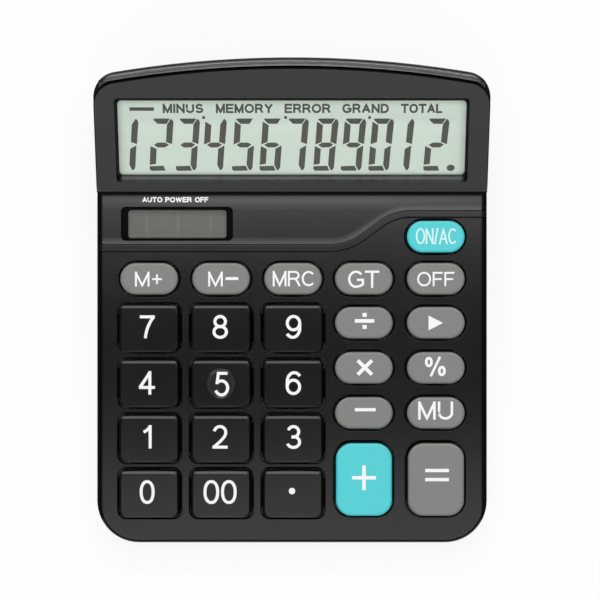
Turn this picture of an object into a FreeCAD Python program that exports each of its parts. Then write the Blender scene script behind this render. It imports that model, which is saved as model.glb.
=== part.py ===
"""Desk calculator: tilted display head, 26 keys, solar cell and one AA cell, as separate pieces.

Frame: +Z up, +X to the user's right, the user sits at -Y, origin on the table under the middle.
Deck frame: u across, v up the sloping key deck from its front edge, w out of the deck.
Face frame: u across, f up the display face from its lower edge, g out of the face.
"""
import FreeCAD, Part
import math
import os
import Sketcher

V = FreeCAD.Vector
NORMAL = V(0, 0, 1)

DIMENSIONS = {
    # the case as a whole
    "deck_tilt": 5.5,
    "face_tilt": 22.0,
    "deck_height": 13.6,
    "base_height": 1.2,
    "split_height": 7.0,
    "case_width": 118.2,
    "case_length": 145.3,
    "rear_radius": 338.0,
    "front_corner": 12.7,
    "rear_corner": 7.8,
    "wall": 2.0,
    "deck_edge": 1.4,
    "prism_reach": 60.0,
    "lip_height": 1.2,
    "lip_thickness": 0.9,
    "lip_gap": 0.1,
    # plate and wave-shaped ridge between the keys and the display head
    "plate_rise": 0.7,
    "ridge_rise": 1.3,
    "ridge_width": 2.3,
    "ridge_round": 0.5,
    "ridge_inset": 0.4,
    "ridge_left": 90.45,
    "ridge_right": 100.75,
    "ridge_bend_left": 16.5,
    "ridge_bend_right": 30.7,
    "ridge_bend_radius": 16.0,
    "plate_width": 114.8,
    "plate_end": 105.2,
    "groove_depth": 0.6,
    # display head
    "face_start": 106.2,
    "face_rise": 2.0,
    "rim_round": 1.85,
    "bezel_width": 118.0,
    "bezel_top": 38.6,
    "bezel_arc": 314.0,
    "bezel_thick": 1.8,
    "bezel_corner": 7.0,
    "bezel_foot_corner": 1.2,
    "seat_foot": 0.9,
    "seat_top_gap": 0.75,
    "rim_side_round": 0.5,
    "window_width": 105.7,
    "window_depth": 26.25,
    "window_low": 3.1,
    "window_back_width": 104.4,
    "window_back_depth": 23.25,
    "window_back_low": 4.25,
    "window_corner": 1.2,
    "window_recess": 3.7,
    "collar_wall": 1.0,
    "lens_width": 107.0,
    "lens_depth": 26.0,
    "lens_thick": 1.0,
    # liquid crystal display and its holder
    "lcd_middle": 15.3,
    "lcd_width": 108.4,
    "lcd_depth": 29.2,
    "lcd_glass": 1.1,
    "lcd_film": 0.2,
    "holder_width": 110.6,
    "holder_depth": 31.6,
    "holder_front": 4.0,
    "holder_back": 8.7,
    "holder_wall": 1.2,
    "lug_across": 22.0,
    "lug_up": 32.8,
    "lug_radius": 2.2,
    "lug_thick": 1.5,
    "lug_post_radius": 1.5,
    "holder_screw_radius": 0.6,
    "holder_head_radius": 1.4,
    "ribbon_width": 56.0,
    "ribbon_bond": 4.0,
    "ribbon_thick": 0.15,
    # solar cell
    "solar_across": -34.8,
    "solar_up": 96.6,
    "solar_recess_width": 33.9,
    "solar_recess_depth": 10.3,
    "solar_width": 29.9,
    "solar_depth": 8.6,
    "solar_sink": 1.2,
    "solar_lens": 0.8,
    "solar_cell_thick": 1.1,
    # keys
    "column_pitch": 21.7,
    "left_block_shift": 0.3,
    "digit_width": 18.5,
    "digit_depth": 14.7,
    "digit_corner": 2.3,
    "digit_row": 15.06,
    "digit_pitch": 16.65,
    "oval_width": 17.8,
    "oval_depth": 9.95,
    "oval_row": 39.47,
    "oval_pitch": 13.6,
    "memory_row": 79.95,
    "on_row": 92.65,
    "tall_width": 17.3,
    "tall_depth": 22.3,
    "tall_corner": 4.85,
    "tall_row": 19.4,
    "digit_top": 3.0,
    "oval_top": 2.6,
    "hole_gap": 0.45,
    "hole_round": 0.25,
    "key_round": 0.9,
    "key_draft": 1.5,
    "key_wall": 1.5,
    "flange_reach": 1.1,
    "flange_thick": 1.0,
    "flange_play": 0.1,
    "plunger_radius": 2.2,
    "plunger_drop": 0.5,
    "dish_radius": 95.0,
    "dish_sink": 0.35,
    "dimple_radius": 30.0,
    "dimple_sink": 0.35,
    # dome mat and circuit board, measured down from the deck
    "mat_top": 6.0,
    "mat_thick": 1.0,
    "mat_across": 53.4,
    "mat_front": 7.4,
    "hollow_lift": 0.8,
    "dome_radius": 4.0,
    "dome_draft": 30.0,
    "dome_hollow": 2.6,
    "pill_radius": 1.9,
    "pill_thick": 0.5,
    "board_thick": 1.2,
    "board_width": 113.0,
    "board_end": 103.6,
    # screws and the posts that they hold
    "post_radius": 2.2,
    "boss_radius": 3.2,
    "front_post_across": 40.0,
    "front_post_up": 4.9,
    "front_post_low": 8.7,
    "rear_post_across": 54.9,
    "rear_post_up": 124.0,
    "rear_post_low": 16.9,
    "case_screw_radius": 1.0,
    "case_screw_length": 6.5,
    "case_head_radius": 2.2,
    "case_head_height": 1.4,
    "well_radius": 2.5,
    "seat_thick": 1.5,
    "board_post_radius": 1.6,
    "board_screw_radius": 0.7,
    "board_screw_length": 4.6,
    "board_head_radius": 1.5,
    "board_head_height": 0.9,
    "screw_gap": 0.1,
    # cell compartment, door and feet
    "floor_thick": 2.0,
    "cell_radius": 7.15,
    "cell_length": 49.3,
    "nub_radius": 2.7,
    "nub_length": 1.1,
    "cell_back": 15.5,
    "bay_length": 57.5,
    "bay_width": 15.6,
    "bay_wall": 1.5,
    "contact_thick": 0.5,
    "contact_width": 11.0,
    "spring_wire": 0.3,
    "spring_wide": 4.6,
    "spring_narrow": 3.3,
    "spring_turns": 3,
    "door_width": 60.0,
    "door_length": 23.4,
    "door_back": 1.9,
    "door_thick": 1.5,
    "door_play": 0.3,
    "grip_pitch": 1.8,
    "grip_width": 14.0,
    "grip_depth": 0.4,
    "rail": 1.0,
    "rail_lift": 0.8,
    "foot_across": 46.0,
    "foot_front": 57.0,
    "foot_rear": 60.0,
    "foot_radius": 5.0,
    "foot_recess": 0.8,
}

doc = FreeCAD.newDocument("calculator")
sheet = doc.addObject("Spreadsheet::Sheet", "dims")
for row, (alias, size) in enumerate(DIMENSIONS.items(), start=1):
    sheet.set(f"A{row}", alias.replace("_", " "))
    sheet.set(f"B{row}", str(size))
    sheet.setAlias(f"B{row}", alias)
doc.recompute()


def bound(text):
    """Returns an expression with each dimension's name replaced by its cell."""
    words = []
    word = ""
    for letter in f"{text} ":
        if letter.isalnum() or letter == "_":
            word += letter
            continue
        words.append(f"dims.{word}" if word in DIMENSIONS else word)
        words.append(letter)
        word = ""
    return "".join(words).strip()


def size_of(text):
    """Returns the number that an expression in the dimensions has now."""
    return float(sheet.evalExpression(bound(text)))


# Where the deck frame and the face frame stand, as expressions.
REAR_REACH = (
    "(case_length * cos(deck_tilt)"
    " + (deck_height + case_length * sin(deck_tilt) - base_height) * tan(deck_tilt))"
)
DECK_START = f"(-{REAR_REACH} / 2)"
FACE_V = "face_start"
FACE_W = "face_rise"
FAR = "(2 * prism_reach)"


def deck_y(v, w="0"):
    """Returns the Y of a point given in the deck frame."""
    return f"({DECK_START} + ({v}) * cos(deck_tilt) - ({w}) * sin(deck_tilt))"


def deck_z(v, w="0"):
    """Returns the Z of a point given in the deck frame."""
    return f"(deck_height + ({v}) * sin(deck_tilt) + ({w}) * cos(deck_tilt))"


def face_to_deck(f, g):
    """Returns the v and w of a point given in the face frame."""
    v = f"({FACE_V} + ({f}) * cos(face_tilt) - ({g}) * sin(face_tilt))"
    w = f"({FACE_W} + ({f}) * sin(face_tilt) + ({g}) * cos(face_tilt))"
    return v, w


def place(piece, position, angle=None):
    """Puts a piece at three expressions, turned about X by a fourth."""
    piece.Placement = FreeCAD.Placement(V(), FreeCAD.Rotation(V(1, 0, 0), 1))
    for axis, text in zip("xyz", position):
        piece.setExpression(f"Placement.Base.{axis}", bound(text))
    piece.setExpression("Placement.Rotation.Angle", bound(angle or "0"))


def on_deck(piece, u="0", v="0", w="0"):
    """Puts a piece's own origin at a point of the deck frame, square to the deck."""
    place(piece, (u, deck_y(v, w), deck_z(v, w)), "deck_tilt")


def on_face(piece):
    """Puts a piece's own origin at the lower edge of the display face, square to the face."""
    place(piece, ("0", deck_y(FACE_V, FACE_W), deck_z(FACE_V, FACE_W)), "deck_tilt + face_tilt")


class Outline:
    """A sketch on one of its body's planes, with every size bound to the sheet."""

    def __init__(self, body, name, plane="XY_Plane", offset=("0", "0", "0")):
        self.sketch = body.newObject("Sketcher::SketchObject", name)
        planes = {o.Role: o for o in body.Origin.OriginFeatures}
        self.sketch.AttachmentSupport = [(planes[plane], "")]
        self.sketch.MapMode = "FlatFace"
        for axis, text in zip("xyz", offset):
            self.sketch.setExpression(f"AttachmentOffset.Base.{axis}", bound(text))
        self.count = 0

    def fix(self, kind, *where, to):
        """Adds one driving constraint and binds it to an expression."""
        number = size_of(to)
        index = self.sketch.addConstraint(Sketcher.Constraint(kind, *where, number))
        self.count += 1
        name = f"size_{self.count}"
        self.sketch.renameConstraint(index, name)
        self.sketch.setExpression(f"Constraints.{name}", bound(to))

    def fix_point(self, geometry, end, x, y):
        """Fixes a point of a geometry at two expressions."""
        self.fix("DistanceX", -1, 1, geometry, end, to=x)
        self.fix("DistanceY", -1, 1, geometry, end, to=y)

    def circle(self, x, y, radius):
        """Adds a circle."""
        centre = V(size_of(x), size_of(y))
        shape = Part.Circle(centre, NORMAL, size_of(radius))
        geometry = self.sketch.addGeometry(shape)
        self.fix_point(geometry, 3, x, y)
        self.fix("Radius", geometry, to=radius)
        return self

    def polygon(self, points, arc=None):
        """Adds a closed outline through points.

        With arc, the last side runs back to the first point as an arc of that radius, which
        bulges away from the outline.
        """
        corners = [V(size_of(x), size_of(y)) for x, y in points]
        sides = []
        for number, start in enumerate(corners):
            end = corners[(number + 1) % len(corners)]
            bulges = arc and number == len(corners) - 1
            shape = bulging_arc(start, end, size_of(arc)) if bulges else Part.LineSegment(start, end)
            sides.append(self.sketch.addGeometry(shape))
        for side, following in zip(sides, sides[1:] + sides[:1]):
            self.sketch.addConstraint(Sketcher.Constraint("Coincident", side, 2, following, 1))
        for side, (x, y) in zip(sides, points):
            self.fix_point(side, 1, x, y)
        if arc:
            self.fix("Radius", sides[-1], to=arc)
        return self

    def rectangle(self, width, depth, x="0", y="0"):
        """Adds a rectangle centred on a point."""
        left, right = f"{x} - {width} / 2", f"{x} + {width} / 2"
        front, rear = f"{y} - {depth} / 2", f"{y} + {depth} / 2"
        return self.polygon([(left, front), (right, front), (right, rear), (left, rear)])

    def slot(self, width, depth, x="0", y="0"):
        """Adds a slot with round ends, centred on a point, its length along x."""
        radius = f"({depth}) / 2"
        left, right = f"{x} - ({width}) / 2 + {radius}", f"{x} + ({width}) / 2 - {radius}"
        x0, x1, middle, r = size_of(left), size_of(right), size_of(y), size_of(radius)
        quarter = math.pi / 2
        add = self.sketch.addGeometry
        rear = add(Part.LineSegment(V(x1, middle + r), V(x0, middle + r)))
        west = add(Part.ArcOfCircle(Part.Circle(V(x0, middle), NORMAL, r), quarter, 3 * quarter))
        front = add(Part.LineSegment(V(x0, middle - r), V(x1, middle - r)))
        east = add(Part.ArcOfCircle(Part.Circle(V(x1, middle), NORMAL, r), -quarter, quarter))
        for side, following in ((rear, west), (west, front), (front, east), (east, rear)):
            self.sketch.addConstraint(Sketcher.Constraint("Tangent", side, 2, following, 1))
        self.fix_point(west, 3, left, y)
        self.fix_point(east, 3, right, y)
        self.fix("Radius", east, to=radius)
        return self


def bulging_arc(start, end, radius):
    """Returns the arc from start to end that turns anticlockwise."""
    half = math.asin((end - start).Length / 2 / radius)
    middle = (start + end) / 2
    along = (end - start).normalize()
    centre = middle + V(-along.y, along.x) * radius * math.cos(half)
    first = math.atan2(start.y - centre.y, start.x - centre.x)
    return Part.ArcOfCircle(Part.Circle(centre, NORMAL, radius), first, first + 2 * half)


class Piece:
    """A PartDesign body that grows one feature at a time."""

    def __init__(self, name):
        self.body = doc.addObject("PartDesign::Body", name)
        self.name = name
        self.steps = 0

    def outline(self, plane="XY_Plane", offset=("0", "0", "0")):
        """Starts a sketch on one of the body's origin planes."""
        self.steps += 1
        return Outline(self.body, f"{self.name}_outline_{self.steps}", plane, offset)

    def feature(self, kind, outline, **values):
        """Adds a feature that is made from a sketch, with its sizes bound to the sheet."""
        self.steps += 1
        made = self.body.newObject(f"PartDesign::{kind}", f"{self.name}_{kind}_{self.steps}".lower())
        made.Profile = outline.sketch
        for name, value in values.items():
            if isinstance(value, str) and name not in ("Type", "SideType"):
                made.setExpression(name, bound(value))
            else:
                setattr(made, name, value)
        doc.recompute()
        return made

    def pad(self, outline, length, **values):
        """Adds material up from a sketch."""
        return self.feature("Pad", outline, Length=length, **values)

    def pocket(self, outline, length, **values):
        """Takes material away and checks that some went."""
        before = self.body.Shape.Volume
        made = self.feature("Pocket", outline, Length=length, **values)
        if before - self.body.Shape.Volume < 1e-6:
            raise ValueError(f"{self.name}: a pocket cut nothing")
        return made

    def funnel(self, front, back):
        """Cuts a straight-sided opening that narrows from one sketch to another."""
        self.steps += 1
        name = f"{self.name}_funnel_{self.steps}"
        made = self.body.newObject("PartDesign::SubtractiveLoft", name)
        made.Profile = front.sketch
        made.Sections = [back.sketch]
        made.Ruled = True
        doc.recompute()
        return made

    def dress(self, kind, radius, chosen):
        """Rounds or bevels the edges of the last feature that a test picks."""
        last = self.body.Tip
        names = [f"Edge{n}" for n, edge in enumerate(last.Shape.Edges, start=1) if chosen(edge)]
        if not names:
            raise ValueError(f"{self.name}: no edges to dress")
        self.steps += 1
        made = self.body.newObject(f"PartDesign::{kind}", f"{self.name}_{kind}_{self.steps}".lower())
        made.Base = (last, names)
        made.setExpression("Radius" if kind == "Fillet" else "Size", bound(radius))
        doc.recompute()
        return made


def upright(edge):
    """Says whether an edge runs along its body's own Z."""
    ends = [vertex.Point for vertex in edge.Vertexes]
    if len(ends) < 2:
        return False
    run = ends[1] - ends[0]
    return math.hypot(run.x, run.y) < 1e-6 < abs(run.z)


def near(value, wanted, slack=0.01):
    """Says whether a number is at a wanted one."""
    return abs(value - wanted) < slack


def level(edge, height, slack=0.01):
    """Says whether an edge lies at one height of its body's own Z."""
    box = edge.BoundBox
    return near(box.ZMin, height, slack) and near(box.ZMax, height, slack)


def combine(kind, name, pieces):
    """Makes one Part boolean of two or more objects."""
    made = doc.addObject(f"Part::{kind}", name)
    if kind in ("MultiFuse", "MultiCommon"):
        made.Shapes = pieces
    else:
        made.Base, made.Tool = pieces
    doc.recompute()
    return made


def fuse(name, pieces):
    """Joins objects into one."""
    return combine("MultiFuse", name, pieces)


def cut(name, base, tools):
    """Takes one or more objects from another."""
    tool = tools[0] if len(tools) == 1 else fuse(f"{name}_tools", tools)
    return combine("Cut", name, (base, tool))


def common(name, first, second):
    """Keeps what two objects share."""
    return combine("Common", name, (first, second))


def box(name, low, high):
    """Makes a box between two corners given as expressions in the row frame."""
    made = doc.addObject("Part::Box", name)
    for side, axis, near_end, far_end in zip(("Length", "Width", "Height"), "xyz", low, high):
        made.setExpression(side, bound(f"({far_end}) - ({near_end})"))
        made.setExpression(f"Placement.Base.{axis}", bound(near_end))
    return made


def slab(name, low, high):
    """Makes a block wider than the case between two heights Z."""
    low, high = low.replace("FAR", FAR), high.replace("FAR", FAR)
    return box(name, (f"-{FAR}", f"-{FAR}", low), (FAR, FAR, high))


def deck_cylinder(name, radius, at, low, high):
    """Makes a cylinder square to the deck, between two heights w."""
    made = doc.addObject("Part::Cylinder", name)
    made.setExpression("Radius", bound(radius))
    made.setExpression("Height", bound(f"({high}) - ({low})"))
    on_deck(made, at[0], at[1], low)
    return made


# ---------------------------------------------------------------- key layout


class KeyShape:
    """The sizes of one kind of key."""

    def __init__(self, width, depth, corner, top, dished):
        self.width = width
        self.depth = depth
        self.corner = corner
        self.top = top
        self.dished = dished


DIGIT = KeyShape("digit_width", "digit_depth", "digit_corner", "digit_top", True)
OVAL = KeyShape("oval_width", "oval_depth", None, "oval_top", False)
TALL = KeyShape("tall_width", "tall_depth", "tall_corner", "digit_top", False)


def key_layout():
    """Returns each key's node name, shape and place on the deck."""
    column = {name: f"{step} * column_pitch" for name, step in zip("ABCDE", range(-2, 3))}
    for letter in "ABC":
        column[letter] += " + left_block_shift"
    places = []
    digits = (("0", "00", "point"), ("1", "2", "3"), ("4", "5", "6"), ("7", "8", "9"))
    for row, names in enumerate(digits):
        for letter, name in zip("ABC", names):
            places.append((f"key_{name}", DIGIT, column[letter], f"digit_row + {row} * digit_pitch"))
    pairs = (("minus", "mu"), ("multiply", "percent"), ("divide", "correct"))
    for row, names in enumerate(pairs):
        for letter, name in zip("DE", names):
            places.append((f"key_{name}", OVAL, column[letter], f"oval_row + {row} * oval_pitch"))
    for letter, name in zip("ABCDE", ("m_plus", "m_minus", "mrc", "gt", "off")):
        places.append((f"key_{name}", OVAL, column[letter], "memory_row"))
    places.append(("key_on_ac", OVAL, column["E"], "on_row"))
    places.append(("key_plus", TALL, column["D"], "tall_row"))
    places.append(("key_equals", TALL, column["E"], "tall_row"))
    return places


KEYS = key_layout()


def key_body(name, shape, u, v):
    """Builds one key cap: skirt, flange that stops it under the deck, and plunger."""
    piece = Piece(name)
    low = "-(wall + flange_play + flange_thick)"
    outline = piece.outline(offset=("0", "0", low))
    if shape.corner:
        outline.rectangle(shape.width, shape.depth)
    else:
        outline.slot(shape.width, shape.depth)
    piece.pad(outline, f"{shape.top} - ({low})", TaperAngle="-key_draft")
    if shape.corner:
        top = size_of(shape.top)
        piece.dress("Fillet", shape.corner, lambda edge: not level(edge, edge.BoundBox.ZMin))
        piece.dress("Fillet", "key_round", lambda edge: level(edge, top))
    else:
        top = size_of(shape.top)
        piece.dress("Fillet", "key_round", lambda edge: level(edge, top))
    flange = piece.outline(offset=("0", "0", low))
    flange.rectangle(f"({shape.width} + 2 * flange_reach)", f"({shape.depth} * 0.6)")
    piece.pad(flange, "flange_thick")
    hollow = piece.outline(offset=("0", "0", low))
    hollow.rectangle(f"({shape.width} - 4 * key_wall)", f"({shape.depth} - 2.4 * key_wall)")
    piece.pocket(hollow, f"{shape.top} - key_wall - ({low})", Reversed=True)
    plunger = piece.outline(offset=("0", "0", f"{low} - plunger_drop"))
    plunger.circle("0", "0", "plunger_radius")
    piece.pad(plunger, f"{shape.top} - key_wall / 2 - ({low}) + plunger_drop")
    if shape.dished:
        dish = piece.outline("XZ_Plane")
        dish.circle("0", f"{shape.top} + dish_radius - dish_sink", "dish_radius")
        piece.pocket(dish, f"2 * {shape.depth}", SideType="Symmetric")
    if name == "key_5":
        dimple = piece.outline("XZ_Plane")
        dimple_sketch(dimple, f"{shape.top} - dish_sink")
        piece.feature("Groove", dimple, ReferenceAxis=(dimple.sketch, ["V_Axis"]), Angle=360)
    on_deck(piece.body, u, v)
    return piece.body


def dimple_sketch(outline, top):
    """Draws half of a flat-bottomed dimple's section, to be turned about the key's middle."""
    reach = "sqrt(2 * dimple_radius * dimple_sink)"
    outline.polygon(
        [
            ("0", f"{top} - dimple_sink"),
            (f"{reach} * 0.8", f"{top} - dimple_sink"),
            (reach, f"{top}"),
            (reach, f"{top} + 1"),
            ("0", f"{top} + 1"),
        ]
    )


# ---------------------------------------------------------------- cases


def case_prism(name, inset):
    """Builds the case's plan outline, moved inwards, as a prism square to the deck."""
    piece = Piece(name)
    half = f"(case_width / 2 - {inset})"
    arc = f"(rear_radius - {inset})"
    side = f"(case_length - rear_radius + sqrt({arc} * {arc} - {half} * {half}))"
    outline = piece.outline(offset=("0", "0", "-prism_reach"))
    corners = [(f"-{half}", side), (f"-{half}", inset), (half, inset), (half, side)]
    outline.polygon(corners, arc)
    piece.pad(outline, "2 * prism_reach")
    middle = size_of("case_length") / 2
    piece.dress(
        "Fillet", f"front_corner - {inset}", lambda e: upright(e) and e.BoundBox.YMax < middle
    )
    piece.dress(
        "Fillet",
        f"rear_corner - {inset}",
        lambda e: upright(e) and e.BoundBox.YMin > middle and e.Length > 1,
    )
    on_deck(piece.body)
    return piece


def trim_above(piece, skin_deck, skin_face):
    """Cuts a case prism down to the side profile, a skin's thickness under deck and face."""
    far = "(case_length + 10)"
    start_v, start_w = face_to_deck("0", f"-({skin_face})")
    outline = piece.outline("YZ_Plane")
    rise = f"({start_w} + ({far} - {start_v}) * tan(face_tilt))"
    if skin_deck == "0":
        step = [("face_start", "0"), ("face_start", "face_rise")]
    else:
        foot = f"({start_v} - (({start_w}) + ({skin_deck})) / tan(face_tilt))"
        step = [(foot, f"-({skin_deck})")]
    profile = [("-5", f"-({skin_deck})")] + step + [
        (far, rise),
        (far, "prism_reach + 5"),
        ("-5", "prism_reach + 5"),
    ]
    outline.polygon(profile)
    piece.pocket(outline, "2 * case_width", SideType="Symmetric")
    return piece


def wave_line(inwards="0"):
    """Returns the two bends of the wave, moved down the deck by a distance across its line."""
    slope = "(ridge_right - ridge_left) / (ridge_bend_right - ridge_bend_left)"
    shift = f"({inwards}) * (sqrt(1 + ({slope}) * ({slope})) - 1) / ({slope})"
    return [
        (f"ridge_bend_left + {shift}", f"ridge_left - {inwards}"),
        (f"ridge_bend_right + {shift}", f"ridge_right - {inwards}"),
    ]


def round_bend(piece, place, radius):
    """Rounds the upright edge that stands at one bend of the wave."""
    u, v = (size_of(text) for text in place)
    piece.dress(
        "Fillet",
        radius,
        lambda edge: upright(edge) and near(edge.BoundBox.XMin, u) and near(edge.BoundBox.YMin, v),
    )


def wave_plate():
    """Builds the raised plate between the wave and the display head."""
    piece = Piece("wave_plate")
    half = "plate_width / 2"
    outline = piece.outline(offset=("0", "0", "-wall / 2"))
    bends = wave_line()
    outline.polygon(
        [(f"-{half}", "ridge_left")]
        + bends
        + [(half, "ridge_right"), (half, "plate_end"), (f"-{half}", "plate_end")]
    )
    piece.pad(outline, "plate_rise + wall / 2")
    for bend in bends:
        round_bend(piece, bend, "ridge_bend_radius")
    on_deck(piece.body)
    return piece.body


def wave_ridge():
    """Builds the rounded ridge that runs across the case in front of the plate."""
    piece = Piece("wave_ridge")
    half = "(case_width / 2 - ridge_inset)"
    outline = piece.outline(offset=("0", "0", "-wall"))
    rear = wave_line()
    front = wave_line("ridge_width")
    outline.polygon(
        [(f"-{half}", "ridge_left - ridge_width")]
        + front
        + [
            (half, "ridge_right - ridge_width"),
            (half, "ridge_right"),
            rear[1],
            rear[0],
            (f"-{half}", "ridge_left"),
        ]
    )
    piece.pad(outline, "ridge_rise + wall")
    round_bend(piece, front[0], "ridge_bend_radius + ridge_width")
    round_bend(piece, front[1], "ridge_bend_radius - ridge_width")
    for bend in rear:
        round_bend(piece, bend, "ridge_bend_radius")
    top = size_of("ridge_rise")
    piece.dress("Fillet", "ridge_round", lambda edge: level(edge, top))
    on_deck(piece.body)
    return piece.body


def side_arc_polygon(outline, half, arc, top, foot):
    """Adds a face-frame outline with straight sides and an arched top."""
    side = f"({top} - {arc} + sqrt({arc} * {arc} - {half} * {half}))"
    outline.polygon([(f"-{half}", side), (f"-{half}", foot), (half, foot), (half, side)], arc)
    return outline


def bezel_seat():
    """Builds the space that the display bezel sits in, open at both sides of the case."""
    piece = Piece("bezel_seat")
    outline = piece.outline(offset=("0", "0", "-bezel_thick"))
    arc, top = "(bezel_arc + seat_top_gap)", "(bezel_top + seat_top_gap)"
    side_arc_polygon(outline, "(case_width / 2 + 2)", arc, top, "-seat_foot")
    piece.pad(outline, "bezel_thick + 8")
    on_face(piece.body)
    return piece.body


def rounded_block(name, width, depth, corner, low, high, at=("0", "0")):
    """Builds a block with rounded upright edges, to be placed in either sloping frame."""
    piece = Piece(name)
    outline = piece.outline(offset=("0", "0", low))
    outline.rectangle(f"({width})", f"({depth})", f"({at[0]})", f"({at[1]})")
    piece.pad(outline, f"({high}) - ({low})")
    piece.dress("Fillet", corner, upright)
    return piece


WINDOW_MIDDLE = "(window_low + window_depth / 2)"
COLLAR_WIDTH = "(window_width + 2 * collar_wall)"
COLLAR_DEPTH = "(window_depth + 2 * collar_wall)"
OPENING_GAP = "0.3"
ROWS_OF_POSTS = (
    ("-55.2", "23.15"),
    ("-55.2", "56.45"),
    ("55.2", "32.2"),
    ("55.2", "72.95"),
    ("-32.5", "87.2"),
    ("12", "87.2"),
    ("0", "4.6"),
)
MAT_FLOOR = "(mat_top + mat_thick)"
CASE_POSTS = [
    (f"{sign}front_post_across", "front_post_up", "front_post_low", "wall / 2") for sign in ("-", "")
] + [(f"{sign}rear_post_across", "rear_post_up", "rear_post_low", "wall") for sign in ("-", "")]


def key_holes(piece):
    """Cuts the hole of every key through the deck, before the case is hollowed."""
    depth = "wall + 2"
    for shape in (OVAL, DIGIT, TALL):
        outline = piece.outline(offset=("0", "0", "0"))
        width, span = f"({shape.width} + 2 * hole_gap)", f"({shape.depth} + 2 * hole_gap)"
        for _, kind, u, v in KEYS:
            if kind is not shape:
                continue
            if shape.corner:
                outline.rectangle(width, span, u, f"({v})")
            else:
                outline.slot(width, span, u, f"({v})")
        piece.pocket(outline, depth)
        if shape.corner:
            reach = size_of(depth)
            inside = size_of("case_width / 2 - wall")
            spots = [
                (size_of(u) + sx * size_of(width) / 2, size_of(v) + sy * size_of(span) / 2)
                for _, kind, u, v in KEYS
                for sx in (-1, 1)
                for sy in (-1, 1)
                if kind is shape
            ]
            piece.dress(
                "Fillet",
                f"{shape.corner} + hole_gap",
                lambda edge: upright(edge)
                and near(edge.Length, reach)
                and abs(edge.BoundBox.XMin) < inside
                and any(
                    near(edge.BoundBox.XMin, x) and near(edge.BoundBox.YMin, y) for x, y in spots
                ),
            )
    side = size_of("case_width / 2 - deck_edge") - 1
    front, rear = size_of("deck_edge") + 1, size_of("ridge_right")

    def round_a_hole(edge):
        box = edge.BoundBox
        across = max(abs(box.XMin), abs(box.XMax))
        return level(edge, 0) and across < side and box.YMin > front and box.YMax < rear

    piece.dress("Fillet", "hole_round", round_a_hole)


def rim_fillet(base):
    """Rounds the head's rear rim, and fades the rounding out round the corners to the sides."""
    made = doc.addObject("Part::Fillet", "rounded_rim")
    made.Base = base
    full, slight = size_of("rim_round"), size_of("rim_side_round")
    lift = math.radians(size_of("deck_tilt + face_tilt"))
    normal = V(0, -math.sin(lift), math.cos(lift))
    corner = V(0, size_of(deck_y(FACE_V, FACE_W)), size_of(deck_z(FACE_V, FACE_W)))
    chosen = []
    for number, edge in enumerate(base.Shape.Edges, start=1):
        ends = [vertex.Point for vertex in edge.Vertexes]
        on_plane = all(abs((point - corner).dot(normal)) < 1e-4 for point in ends)
        lowest = min(point.z for point in ends)
        if not on_plane or near(max(point.z for point in ends), corner.z):
            continue
        if near(ends[0].z, ends[-1].z):
            chosen.append((number, full, full))
        elif near(lowest, corner.z):
            chosen.append((number, slight, slight))
        else:
            at_start = edge.valueAt(edge.FirstParameter)
            at_end = edge.valueAt(edge.LastParameter)
            rises = abs(at_start.x) > abs(at_end.x)
            chosen.append((number, slight, full) if rises else (number, full, slight))
    made.Edges = chosen
    doc.recompute()
    return made


def posts(name, places, radius):
    """Builds screw posts that hang from the case; places hold u, v, depth and start."""
    made = []
    for number, (u, v, low, high) in enumerate(places, start=1):
        made.append(deck_cylinder(f"{name}_{number}", radius, (u, v), f"-({low})", f"-({high})"))
    return made


def holder_posts(name, radius, low, high):
    """Builds the two posts over the display, square to its face."""
    piece = Piece(name)
    outline = piece.outline(offset=("0", "0", f"-({high})"))
    for sign in ("-", ""):
        outline.circle(f"{sign}lug_across", "lug_up", radius)
    piece.pad(outline, f"({high}) - ({low})")
    on_face(piece.body)
    return piece.body


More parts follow.
